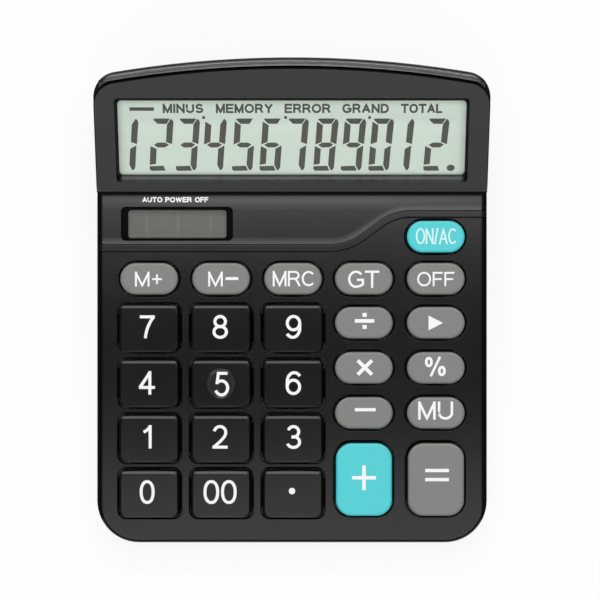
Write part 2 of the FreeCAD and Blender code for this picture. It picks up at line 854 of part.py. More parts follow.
def upper_case():
    """Builds the upper case: key deck, wave, display head and screw posts in one moulding."""
    outer = case_prism("upper_prism", "0")
    trim_above(outer, "0", "0")
    step = size_of("face_start") - 1
    outer.dress("Fillet", "deck_edge", lambda e: level(e, 0) and e.BoundBox.YMin < step)
    key_holes(outer)
    block = fuse("upper_block", [rim_fillet(outer.body), wave_plate(), wave_ridge()])

    inner = case_prism("upper_hollow", "wall")
    trim_above(inner, "wall", "bezel_thick + wall")
    rebate = case_prism("upper_rebate", "(wall - lip_thickness - lip_gap)")
    low_slab = slab("rebate_slab", "-FAR", "split_height + lip_height + lip_gap")
    below = slab("below_split", "-FAR", "split_height")
    lip_space = common("lip_space", rebate.body, low_slab)

    groove = rounded_block(
        "head_groove",
        "case_width - 2 * deck_edge",
        "face_start - plate_end",
        "0.2",
        "-groove_depth",
        "face_rise",
        ("0", "(face_start + plate_end) / 2"),
    )
    on_deck(groove.body)
    recess = rounded_block(
        "solar_recess",
        "solar_recess_width",
        "solar_recess_depth",
        "1.5",
        "plate_rise - solar_sink",
        "5",
        ("solar_across", "solar_up"),
    )
    on_deck(recess.body)
    pane = rounded_block(
        "solar_opening", "solar_width", "solar_depth", "1", "-5", "5", ("solar_across", "solar_up")
    )
    on_deck(pane.body)
    opening = rounded_block(
        "display_opening",
        f"{COLLAR_WIDTH} + 2 * {OPENING_GAP}",
        f"{COLLAR_DEPTH} + 2 * {OPENING_GAP}",
        "window_corner + collar_wall",
        "-8",
        "1",
        ("0", WINDOW_MIDDLE),
    )
    on_face(opening.body)
    tools = [inner.body, lip_space, below, groove.body, recess.body, pane.body, bezel_seat(), opening.body]
    shell = cut("upper_shell", block, tools)

    board_places = [(u, v, "mat_top + mat_thick", "wall / 2") for u, v in ROWS_OF_POSTS]
    front, rear = CASE_POSTS[:2], CASE_POSTS[2:]
    hanging = posts("front_post", front, "post_radius") + posts("rear_post", rear, "boss_radius")
    hanging += posts("board_post", board_places, "board_post_radius")
    hanging.append(
        holder_posts("holder_posts", "lug_post_radius", "bezel_thick + wall / 2", "holder_back - lug_thick")
    )
    solid = fuse("upper_solid", [shell] + hanging)
    pilots = posts(
        "post_pilot",
        [(u, v, f"{low} + 1", f"{low} - case_screw_length") for u, v, low, _ in CASE_POSTS],
        "case_screw_radius + 0.05",
    )
    pilots += posts(
        "board_pilot",
        [(u, v, "mat_top + mat_thick + 1", "mat_top + mat_thick - 3.8") for u, v in ROWS_OF_POSTS],
        "board_screw_radius + 0.05",
    )
    pilots.append(
        holder_posts(
            "holder_pilots", "holder_screw_radius + 0.05", "bezel_thick + wall + 0.4", "holder_back"
        )
    )
    return cut("upper_case", solid, pilots)


REAR_Y = f"({REAR_REACH} / 2)"
CELL_Y = f"({REAR_Y} - cell_back)"
CELL_Z = "(base_height + door_thick + 0.6 + cell_radius)"
FLOOR_Z = "(base_height + floor_thick)"
BAY_TOP = f"({CELL_Z} + cell_radius + 0.6)"
DOOR_REAR = f"({REAR_Y} - door_back)"
DOOR_FRONT = f"({DOOR_REAR} - door_length)"


def foot_places():
    """Returns the middle of each foot."""
    rows = ("-foot_front", "foot_rear")
    return [(f"{sign}foot_across", row) for row in rows for sign in ("-", "")]


def upright_cylinder(name, radius, x, y, low, high):
    """Makes a cylinder that stands square to the table."""
    made = doc.addObject("Part::Cylinder", name)
    made.setExpression("Radius", bound(radius))
    made.setExpression("Height", bound(f"({high}) - ({low})"))
    for axis, text in zip("xyz", (x, y, low)):
        made.setExpression(f"Placement.Base.{axis}", bound(text))
    return made


def lower_case():
    """Builds the lower case: floor, walls, lip, screw bosses and the cell compartment."""
    outer = case_prism("lower_prism", "0")
    lip = case_prism("lower_lip", "(wall - lip_thickness)")
    inner = case_prism("lower_hollow", "wall")
    body_slab = slab("body_slab", "base_height", "split_height")
    lip_slab = slab("lip_slab", "base_height", "split_height + lip_height")
    walls = fuse(
        "lower_walls",
        [common("lower_skin", outer.body, body_slab), common("lip_ring", lip.body, lip_slab)],
    )
    hollow_slab = slab("hollow_slab", FLOOR_Z, "FAR")
    tray = cut("lower_tray", walls, [common("tray_hollow", inner.body, hollow_slab)])

    bay_half = "(bay_length / 2 + bay_wall)"
    bay = box(
        "bay_block",
        (f"-{bay_half}", f"{CELL_Y} - bay_width / 2 - bay_wall", "base_height + door_thick + 0.1"),
        (bay_half, f"{CELL_Y} + bay_width / 2 + bay_wall", f"{BAY_TOP} + bay_wall"),
    )
    sill_half = "(door_width / 2 + rail + 2)"
    sill = box(
        "door_sill",
        (f"-{sill_half}", f"{DOOR_FRONT} - 2", "base_height"),
        (sill_half, f"{REAR_Y} - 1", f"{FLOOR_Z} + 1.6"),
    )
    sill_in_case = common("sill_in_case", sill, case_prism("sill_limit", "(wall / 2)").body)
    bosses = []
    for number, (u, v, low, _) in enumerate(CASE_POSTS, start=1):
        floor_w = f"(({FLOOR_Z} - deck_height - ({v}) * sin(deck_tilt)) / cos(deck_tilt) - 0.6)"
        bosses.append(
            deck_cylinder(f"case_boss_{number}", "boss_radius", (u, v), floor_w, f"-{low} - screw_gap")
        )
    boss_room = fuse("boss_room", [case_prism("boss_limit", "wall").body, body_slab])
    bosses_in_case = common("bosses_in_case", fuse("bosses", bosses), boss_room)
    solid = fuse("lower_solid", [tray, bay, sill_in_case, bosses_in_case])

    bay_room = box(
        "bay_room",
        ("-bay_length / 2", f"{CELL_Y} - bay_width / 2", "0"),
        ("bay_length / 2", f"{CELL_Y} + bay_width / 2", BAY_TOP),
    )
    play = "door_play"
    lip_low = "base_height + rail_lift"
    recess = box(
        "door_recess",
        (f"-(door_width / 2 + {play})", f"{DOOR_FRONT} - {play}", "0"),
        (f"door_width / 2 + {play}", "100", lip_low),
    )
    rails = box(
        "door_rails",
        (f"-(door_width / 2 + rail + {play})", f"{DOOR_FRONT} - {play}", lip_low),
        (f"door_width / 2 + rail + {play}", "100", "base_height + door_thick + 0.1"),
    )
    tools = [bay_room, recess, rails]
    for number, (u, v, low, _) in enumerate(CASE_POSTS, start=1):
        spot = (u, v)
        under = f"-{low} - screw_gap - seat_thick"
        tools.append(deck_cylinder(f"screw_well_{number}", "well_radius", spot, "-40", under))
        tools.append(deck_cylinder(f"screw_way_{number}", "case_screw_radius + 0.2", spot, "-40", "0"))
    for number, (x, y) in enumerate(foot_places(), start=1):
        top = "base_height + foot_recess"
        tools.append(upright_cylinder(f"foot_seat_{number}", "foot_radius + 0.1", x, y, "0", top))
    return cut("lower_case", solid, tools)


def battery_door():
    """Builds the door: a flush plate with rails along both sides and grip ribs."""
    plate = box(
        "door_plate",
        ("-door_width / 2", DOOR_FRONT, "base_height"),
        ("door_width / 2", DOOR_REAR, "base_height + door_thick"),
    )
    rails = box(
        "door_tongues",
        ("-(door_width / 2 + rail)", DOOR_FRONT, "base_height + rail_lift + 0.1"),
        ("door_width / 2 + rail", DOOR_REAR, "base_height + door_thick"),
    )
    grooves = []
    for number in range(5):
        middle = f"({DOOR_REAR} - 4 - {number} * grip_pitch)"
        low = ("-grip_width / 2", f"{middle} - grip_depth", "0")
        high = ("grip_width / 2", f"{middle} + grip_depth", "base_height + grip_depth")
        grooves.append(box(f"grip_{number}", low, high))
    return cut("battery_door", fuse("door_solid", [plate, rails]), grooves)


def display_bezel():
    """Builds the bezel: an arched plate with a deep collar round the window."""
    piece = Piece("display_bezel")
    outline = piece.outline(offset=("0", "0", "-bezel_thick"))
    side_arc_polygon(outline, "(bezel_width / 2)", "bezel_arc", "bezel_top", "0")
    piece.pad(outline, "bezel_thick")
    high = size_of("bezel_top") / 2
    piece.dress("Fillet", "bezel_corner", lambda e: upright(e) and e.BoundBox.YMin > high)
    piece.dress("Fillet", "bezel_foot_corner", lambda e: upright(e) and near(e.BoundBox.YMax, 0))
    piece.dress("Chamfer", "0.3", lambda e: level(e, 0))
    collar = piece.outline(offset=("0", "0", "-window_recess"))
    collar.rectangle(COLLAR_WIDTH, COLLAR_DEPTH, "0", WINDOW_MIDDLE)
    piece.pad(collar, "window_recess - bezel_thick / 2")
    reach = size_of("window_recess - bezel_thick")
    piece.dress("Fillet", "window_corner + collar_wall", lambda e: upright(e) and near(e.Length, reach))
    front = piece.outline()
    front.rectangle("window_width", "window_depth", "0", WINDOW_MIDDLE)
    back = piece.outline(offset=("0", "0", "-window_recess"))
    back_middle = "(window_back_low + window_back_depth / 2)"
    back.rectangle("window_back_width", "window_back_depth", "0", back_middle)
    piece.funnel(front, back)
    deep = size_of("window_recess")

    def slanted(edge):
        box = edge.BoundBox
        return near(box.ZLength, deep) and box.XLength > 0.01 and box.YLength > 0.01

    piece.dress("Fillet", "window_corner", slanted)
    on_face(piece.body)
    return piece.body


def face_slab(name, width, depth, corner, front, thick):
    """Builds a flat rounded sheet behind the display face, from a depth below it."""
    low = f"-({front}) - ({thick})"
    piece = rounded_block(name, width, depth, corner, low, f"-({front})", ("0", "lcd_middle"))
    on_face(piece.body)
    return piece.body


def display_stack():
    """Builds the clear window and the layers of the liquid crystal display."""
    lens = face_slab(
        "display_window",
        "lens_width",
        "lens_depth",
        "window_corner + 0.6",
        "window_recess",
        "lens_thick",
    )
    layers = [lens]
    front = "window_recess + lens_thick + 0.1"
    for name, thick in (
        ("lcd_front_polariser", "lcd_film"),
        ("lcd_front_glass", "lcd_glass"),
        ("lcd_rear_glass", "lcd_glass"),
        ("lcd_reflector", "lcd_film"),
    ):
        film = thick == "lcd_film"
        width = "lcd_width - 1" if film else "lcd_width"
        depth = "lcd_depth - 1" if film else "lcd_depth"
        layers.append(face_slab(name, width, depth, "0.3", front, thick))
        front = f"{front} + {thick}"
    return layers


def lcd_holder():
    """Builds the frame that holds the display against the bezel."""
    piece = Piece("lcd_holder")
    outline = piece.outline(offset=("0", "0", "-holder_back"))
    outline.rectangle("holder_width", "holder_depth", "0", "lcd_middle")
    piece.pad(outline, "holder_back - holder_front")
    high = size_of("lcd_middle")
    piece.dress("Fillet", "1.5", lambda e: upright(e) and e.BoundBox.YMin > high)
    for sign in ("-", ""):
        lug = piece.outline(offset=("0", "0", "-holder_back"))
        lug.circle(f"{sign}lug_across", "lug_up", "lug_radius")
        piece.pad(lug, "lug_thick")
    room = piece.outline(offset=("0", "0", "-holder_front"))
    room.rectangle("(lcd_width + 0.4)", "(lcd_depth + 0.4)", "0", "lcd_middle")
    piece.pocket(room, "holder_back - holder_front - holder_wall")
    slot = piece.outline(offset=("0", "0", "-holder_front"))
    slot_middle = "(lcd_middle - holder_depth / 2 + 1)"
    slot.rectangle("(ribbon_width + 6)", "(ribbon_bond * 2)", "0", slot_middle)
    piece.pocket(slot, "holder_back")
    holes = piece.outline(offset=("0", "0", "-1"))
    for sign in ("-", ""):
        holes.circle(f"{sign}lug_across", "lug_up", "holder_screw_radius + 0.2")
    piece.pocket(holes, "holder_back")
    on_face(piece.body)
    return piece.body


def lcd_ribbon():
    """Builds the heat-seal ribbon from the back of the display to the circuit board."""
    piece = Piece("lcd_ribbon")
    behind = "(window_recess + lens_thick + 0.1 + 2 * lcd_glass + 2 * lcd_film)"
    top = [face_to_deck(f, f"-({behind})") for f in ("ribbon_bond", "0.4")]
    under = [face_to_deck(f, f"-({behind} + ribbon_thick)") for f in ("0.4", "ribbon_bond")]
    outline = piece.outline("YZ_Plane")
    outline.polygon(
        top
        + [("board_end - 0.2", f"ribbon_thick - {MAT_FLOOR}")]
        + [("board_end - ribbon_bond", f"ribbon_thick - {MAT_FLOOR}")]
        + [("board_end - ribbon_bond", f"-{MAT_FLOOR}"), ("board_end - 0.2", f"-{MAT_FLOOR}")]
        + under
    )
    piece.pad(outline, "ribbon_width", SideType="Symmetric")
    on_deck(piece.body)
    return piece.body


def solar_parts():
    """Builds the clear lens in the recess and the solar cell behind it."""
    at = ("solar_across", "solar_up")
    floor = "(plate_rise - solar_sink)"
    lens = rounded_block(
        "solar_lens",
        "solar_width - 0.2",
        "solar_depth - 0.2",
        "0.9",
        f"{floor} - solar_lens / 2",
        f"{floor} + solar_lens / 2",
        at,
    )
    cell = rounded_block(
        "solar_cell",
        "solar_width + 3",
        "solar_depth + 2.4",
        "0.3",
        "-wall - solar_cell_thick",
        "-wall",
        at,
    )
    for piece in (lens, cell):
        on_deck(piece.body)
    return [lens.body, cell.body]


def dome_mat():
    """Builds the silicone mat: a sheet with one hollow dome under every key."""
    piece = Piece("dome_mat")
    base = "(mat_top + mat_thick)"
    sheet_outline = piece.outline(offset=("0", "0", f"-{base}"))
    sheet_outline.polygon(
        [
            ("-mat_across", "mat_front"),
            ("mat_across", "mat_front"),
            ("mat_across", "on_row + oval_depth * 0.6"),
            ("1.5 * column_pitch", "on_row + oval_depth * 0.6"),
            ("1.5 * column_pitch", "memory_row + oval_depth * 0.55"),
            ("-mat_across", "memory_row + oval_depth * 0.55"),
        ]
    )
    piece.pad(sheet_outline, "mat_thick")
    rise = "mat_top - wall - flange_play - flange_thick - plunger_drop"
    domes = piece.outline(offset=("0", "0", "-mat_top"))
    hollows = piece.outline(offset=("0", "0", f"-{base}"))
    for _, _, u, v in KEYS:
        domes.circle(u, f"({v})", "dome_radius")
        hollows.circle(u, f"({v})", "dome_hollow")
    piece.pad(domes, rise, TaperAngle="-dome_draft")
    piece.pocket(hollows, "mat_thick + hollow_lift", Reversed=True)
    on_deck(piece.body)
    return piece.body


def contact_pills():
    """Builds the conductive pill that hangs inside every dome."""
    piece = Piece("contact_pills")
    outline = piece.outline(offset=("0", "0", "hollow_lift - mat_top - pill_thick"))
    for _, _, u, v in KEYS:
        outline.circle(u, f"({v})", "pill_radius")
    piece.body.AllowCompound = True
    piece.pad(outline, "pill_thick")
    on_deck(piece.body)
    return piece.body


def circuit_board():
    """Builds the circuit board with its screw holes and the notches for the case posts."""
    piece = Piece("circuit_board")
    outline = piece.outline(offset=("0", "0", f"-{MAT_FLOOR} - board_thick"))
    front = "(wall + 0.6)"
    outline.rectangle("board_width", f"(board_end - {front})", "0", f"((board_end + {front}) / 2)")
    piece.pad(outline, "board_thick")
    low = size_of(front)
    piece.dress("Fillet", "front_corner - wall - 0.3", lambda e: upright(e) and near(e.BoundBox.YMax, low))
    holes = piece.outline(offset=("0", "0", f"-{MAT_FLOOR} + 1"))
    for u, v in ROWS_OF_POSTS:
        holes.circle(u, v, "board_screw_radius + 0.2")
    for sign in ("-", ""):
        holes.circle(f"{sign}front_post_across", "front_post_up", "post_radius + 0.6")
    piece.pocket(holes, "board_thick + 2")
    on_deck(piece.body)
    return piece.body


def board_parts():
    """Builds what hangs under the circuit board: the covered chip and the capacitor."""
    under = f"-{MAT_FLOOR} - board_thick"
    chip = Piece("chip_blob")
    outline = chip.outline(offset=("0", "0", under))
    outline.circle("-10.85", "59.5", "6.5")
    chip.pad(outline, "1.3", TaperAngle=-45, Reversed=True)
    can = Piece("capacitor")
    outline = can.outline(offset=("0", "0", under))
    outline.circle("18", "95", "2.5")
    can.pad(outline, "5.5", Reversed=True)
    floor = size_of(f"{under} - 5.5")
    can.dress("Fillet", "0.4", lambda edge: level(edge, floor))
    for piece in (chip, can):
        on_deck(piece.body)
    return [chip.body, can.body]


def case_screws():
    """Builds the case screws, with cross recesses, as one group."""
    made = []
    for number, (u, v, low, _) in enumerate(CASE_POSTS, start=1):
        under = f"(-{low} - screw_gap - seat_thick)"
        head_low = f"{under} - case_head_height"
        head = deck_cylinder(f"case_head_{number}", "case_head_radius", (u, v), head_low, under)
        top = f"{under} + case_screw_length"
        shank = deck_cylinder(f"case_shank_{number}", "case_screw_radius", (u, v), f"{under} - 0.5", top)
        solid = fuse(f"case_screw_solid_{number}", [head, shank])
        slots = []
        for arm, (across, along) in enumerate((("2.4", "0.6"), ("0.6", "2.4"))):
            slot = doc.addObject("Part::Box", f"cross_{number}_{arm}")
            slot.setExpression("Length", bound(across))
            slot.setExpression("Width", bound(along))
            slot.setExpression("Height", bound("0.9"))
            on_deck(slot, f"{u} - {across} / 2", f"{v} - {along} / 2", f"{head_low} - 0.1")
            slots.append(slot)
        made.append(cut(f"case_screw_{number}", solid, slots))
    return fuse("case_screws", made)


def board_screws():
    """Builds the screws that hold the circuit board, as one group."""
    made = []
    under = f"(-{MAT_FLOOR} - board_thick)"
    for number, (u, v) in enumerate(ROWS_OF_POSTS, start=1):
        at = (u, v)
        head = deck_cylinder(
            f"board_head_{number}", "board_head_radius", at, f"{under} - board_head_height", under
        )
        shank = deck_cylinder(
            f"board_shank_{number}",
            "board_screw_radius",
            at,
            f"{under} - 0.4",
            f"{under} + board_screw_length",
        )
        made.append(fuse(f"board_screw_{number}", [head, shank]))
    return fuse("board_screws", made)


def holder_screws():
    """Builds the two screws that hold the display holder, as one group."""
    piece = Piece("holder_screws")
    piece.body.AllowCompound = True
    heads = piece.outline(offset=("0", "0", "-holder_back - board_head_height"))
    shanks = piece.outline(offset=("0", "0", "-holder_back - board_head_height / 2"))
    for sign in ("-", ""):
        heads.circle(f"{sign}lug_across", "lug_up", "holder_head_radius")
        shanks.circle(f"{sign}lug_across", "lug_up", "holder_screw_radius")
    piece.pad(heads, "board_head_height")
    piece.pad(shanks, "board_screw_length")
    on_face(piece.body)
    return piece.body


def cell_parts():
    """Builds the AA cell and the contacts at its two ends."""
    end = "(bay_length / 2 - contact_thick)"
    tail = f"({end} - nub_length - cell_length)"
    cell = Piece("battery_cell")
    can = cell.outline("YZ_Plane", ("0", "0", tail))
    can.circle(CELL_Y, CELL_Z, "cell_radius")
    cell.pad(can, "cell_length")
    cell.dress("Fillet", "0.6", lambda edge: edge.Closed)
    nub = cell.outline("YZ_Plane", ("0", "0", f"{tail} + cell_length - 0.5"))
    nub.circle(CELL_Y, CELL_Z, "nub_radius")
    cell.pad(nub, "nub_length + 0.5")

    plates = []
    for name, start in (("positive_contact", end), ("negative_contact", "-bay_length / 2")):
        plates.append(
            box(
                name,
                (start, f"{CELL_Y} - contact_width / 2", f"{CELL_Z} - contact_width / 2"),
                (f"{start} + contact_thick", f"{CELL_Y} + contact_width / 2", f"{CELL_Z} + contact_width / 2"),
            )
        )
    return [cell.body] + plates


def swept(name, edges, radius):
    """Builds a round rod along joined edges."""
    first = edges[0]
    start, along = first.valueAt(first.FirstParameter), first.tangentAt(first.FirstParameter)
    ring = Part.Wire(Part.Circle(start, along, radius).toShape())
    made = doc.addObject("Part::Feature", name)
    made.Shape = Part.Wire(edges).makePipeShell([ring], True, True)
    return made


def battery_spring():
    """Builds the cone-shaped spring between the cell and the negative contact."""
    room = size_of("bay_length - 2 * contact_thick - nub_length - cell_length")
    radius = size_of("spring_wire")
    play = 0.03
    start = size_of("contact_thick - bay_length / 2") + radius + play
    wide, narrow = size_of("spring_wide"), size_of("spring_narrow")
    middle = V(start, size_of(CELL_Y), size_of(CELL_Z))
    quarters = 4 * int(size_of("spring_turns"))

    def on_coil(step):
        share = step / quarters
        turn = step * math.pi / 2
        reach = wide + (narrow - wide) * share
        advance = (room - 2 * radius - 2 * play) * share
        return middle + V(advance, reach * math.cos(turn), reach * math.sin(turn))

    arcs = [Part.Arc(on_coil(n), on_coil(n + 0.5), on_coil(n + 1)).toShape() for n in range(quarters)]
    return swept("battery_spring", arcs, radius)


def rubber_feet():
    """Builds the four rubber feet, as one group."""
    made = []
    for number, (x, y) in enumerate(foot_places(), start=1):
        top = "base_height + foot_recess"
        made.append(upright_cylinder(f"foot_{number}", "foot_radius", x, y, "0", top))
    return fuse("rubber_feet", made)


def wire(name, route, radius=0.5, bend=2.5):
    """Builds an insulated wire along a route, with round bends."""
    points = [V(*(size_of(value) for value in point)) for point in route]
    edges = []
    start = points[0]
    for before, here, after in zip(points, points[1:], points[2:]):
        into, out = (before - here).normalize(), (after - here).normalize()
        half = into.getAngle(out) / 2
        reach = min(bend / math.tan(half), 0.45 * min((before - here).Length, (after - here).Length))
        first, last = here + into * reach, here + out * reach
        towards = (into + out).normalize()
        middle = here + towards * (reach / math.cos(half) - reach * math.tan(half))
        edges.append(Part.LineSegment(start, first).toShape())
        edges.append(Part.Arc(first, middle, last).toShape())
        start = last
    edges.append(Part.LineSegment(start, points[-1]).toShape())
    return swept(name, edges, radius)


def wires():
    """Builds the wires from the cell's contacts and the solar cell to the circuit board."""
    out = "(bay_length / 2 + bay_wall)"
    solder_w = f"-{MAT_FLOOR} - board_thick"
    made = []
    for name, side, u in (("battery_wire_red", 1, "27"), ("battery_wire_black", -1, "-24")):
        sign = "" if side > 0 else "-"
        route = [
            (f"{sign}({out})", f"{CELL_Y} - 4", f"{BAY_TOP} + bay_wall - 3"),
            (f"{sign}({out} + 3)", f"{CELL_Y} - 4", f"{BAY_TOP} + bay_wall - 3"),
            (f"{sign}({out} + 1)", f"{CELL_Y} - 22", f"{BAY_TOP} - 8"),
            (u, deck_y("96", f"{solder_w} - 4"), deck_z("96", f"{solder_w} - 4")),
            (u, deck_y("96", solder_w), deck_z("96", solder_w)),
        ]
        made.append(wire(name, route))
    for name, u, v in (("solar_wire_red", "-22", "100.4"), ("solar_wire_black", "-47", "100.4")):
        start_w = "-wall - solar_cell_thick"
        stops = [
            (v, start_w),
            (v, f"{start_w} - 1.3"),
            (f"{v} - 2", f"1.3 - {MAT_FLOOR}"),
            (f"{v} - 2", f"-{MAT_FLOOR}"),
        ]
        route = [(u, deck_y(*stop), deck_z(*stop)) for stop in stops]
        made.append(wire(name, route, radius=0.4, bend=0.8))
    return made


def build():
    """Builds every piece and returns them in the order that they are written."""
    pieces = [upper_case(), lower_case(), battery_door(), display_bezel()]
    pieces += display_stack()
    pieces += [lcd_holder(), lcd_ribbon()]
    pieces += solar_parts()
    pieces += [key_body(*key) for key in KEYS]
    pieces += [dome_mat(), contact_pills(), circuit_board()]
    pieces += board_parts()
    pieces += cell_parts()
    pieces += [battery_spring()]
    pieces += wires()
    pieces += [rubber_feet(), case_screws(), board_screws(), holder_screws()]
    doc.recompute()
    return pieces


def check(pieces):
    """Stops the script if any object failed or any piece has no valid solid."""
    for item in doc.Objects:
        if any(state in ("Invalid", "Error") for state in item.State):
            raise ValueError(f"{item.Name} failed: {item.State}")
    for piece in pieces:
        shape = piece.Shape
        if shape.isNull() or not shape.isValid() or not shape.Solids:
            raise ValueError(f"{piece.Name} has no valid solid")
        print(piece.Name, len(shape.Solids), round(shape.Volume, 2))


def write(pieces):
    """Writes each piece to a STEP file named after it."""
    os.makedirs("parts", exist_ok=True)
    for piece in pieces:
        piece.Label = piece.Name
        piece.Shape.exportStep(os.path.join("parts", f"{piece.Name}.step"))


PIECES = build()
check(PIECES)
write(PIECES)
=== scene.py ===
"""Desk calculator: finishes, printed marks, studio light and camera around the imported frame."""
import logging
import math
from dataclasses import dataclass, field
from enum import Enum
from typing import Callable, Sequence, Union

import bpy
from mathutils import Matrix, Vector
from mathutils.bvhtree import BVHTree


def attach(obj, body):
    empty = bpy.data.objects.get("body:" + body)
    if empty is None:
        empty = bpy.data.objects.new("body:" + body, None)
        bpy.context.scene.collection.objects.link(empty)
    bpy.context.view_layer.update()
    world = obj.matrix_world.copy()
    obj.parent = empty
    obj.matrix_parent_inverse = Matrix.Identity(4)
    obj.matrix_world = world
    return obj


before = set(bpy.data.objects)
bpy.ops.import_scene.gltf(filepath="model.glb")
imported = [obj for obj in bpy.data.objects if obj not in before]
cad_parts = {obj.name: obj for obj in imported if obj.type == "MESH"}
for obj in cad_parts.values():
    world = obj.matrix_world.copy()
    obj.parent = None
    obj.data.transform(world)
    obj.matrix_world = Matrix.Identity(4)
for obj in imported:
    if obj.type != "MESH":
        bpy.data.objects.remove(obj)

LOG = logging.getLogger("calculator")
MM = 0.001
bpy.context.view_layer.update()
ACROSS = Vector((1, 0, 0))

Colour = tuple[float, float, float]
Point = tuple[float, float]
Path = list[Point]


# ---- working planes


@dataclass(frozen=True)
class Slope:
    """A sloping plane: u across, v up the slope and w out of it, in millimetres."""

    start: Vector
    tilt: float

    def rise(self) -> Vector:
        """Returns the direction up the slope."""
        return Vector((0.0, math.cos(self.tilt), math.sin(self.tilt)))

    def normal(self) -> Vector:
        """Returns the direction out of the slope."""
        return Vector((0.0, -math.sin(self.tilt), math.cos(self.tilt)))

    def point(self, u: float, v: float, w: float = 0.0) -> Vector:
        """Returns a point of the plane in metres."""
        return self.start + MM * (u * ACROSS + v * self.rise() + w * self.normal())


DECK = Slope(Vector((0.0, -73.583, 13.6)) * MM, math.radians(5.5))
FACE = Slope(DECK.point(0.0, 106.2, 2.0), math.radians(27.5))


# ---- shader maths


def operator(operation: str, swapped: bool = False) -> Callable[["Value", "Number"], "Value"]:
    """Makes the method behind a sign of shader maths.

    Args:
        operation: The Math node's operation.
        swapped: Whether the value stands to the right of the sign.

    Returns:
        The method.
    """

    def method(value: "Value", other: "Number") -> "Value":
        """Adds the Math node."""
        return value.graph.math(operation, *((other, value) if swapped else (value, other)))

    return method


@dataclass(eq=False)
class Value:
    """One value of a material, so that shader maths is written as Python."""

    graph: "Graph"
    socket: bpy.types.NodeSocket

    __add__ = operator("ADD")
    __radd__ = operator("ADD", swapped=True)
    __sub__ = operator("SUBTRACT")
    __rsub__ = operator("SUBTRACT", swapped=True)
    __mul__ = operator("MULTIPLY")
    __rmul__ = operator("MULTIPLY", swapped=True)
    __truediv__ = operator("DIVIDE")
    __gt__ = operator("GREATER_THAN")
    __lt__ = operator("LESS_THAN")

    def __abs__(self) -> "Value":
        """Returns the value without its sign."""
        return self.graph.math("ABSOLUTE", self)


Number = Union[float, Value]
Triple = tuple[Value, Value, Value]


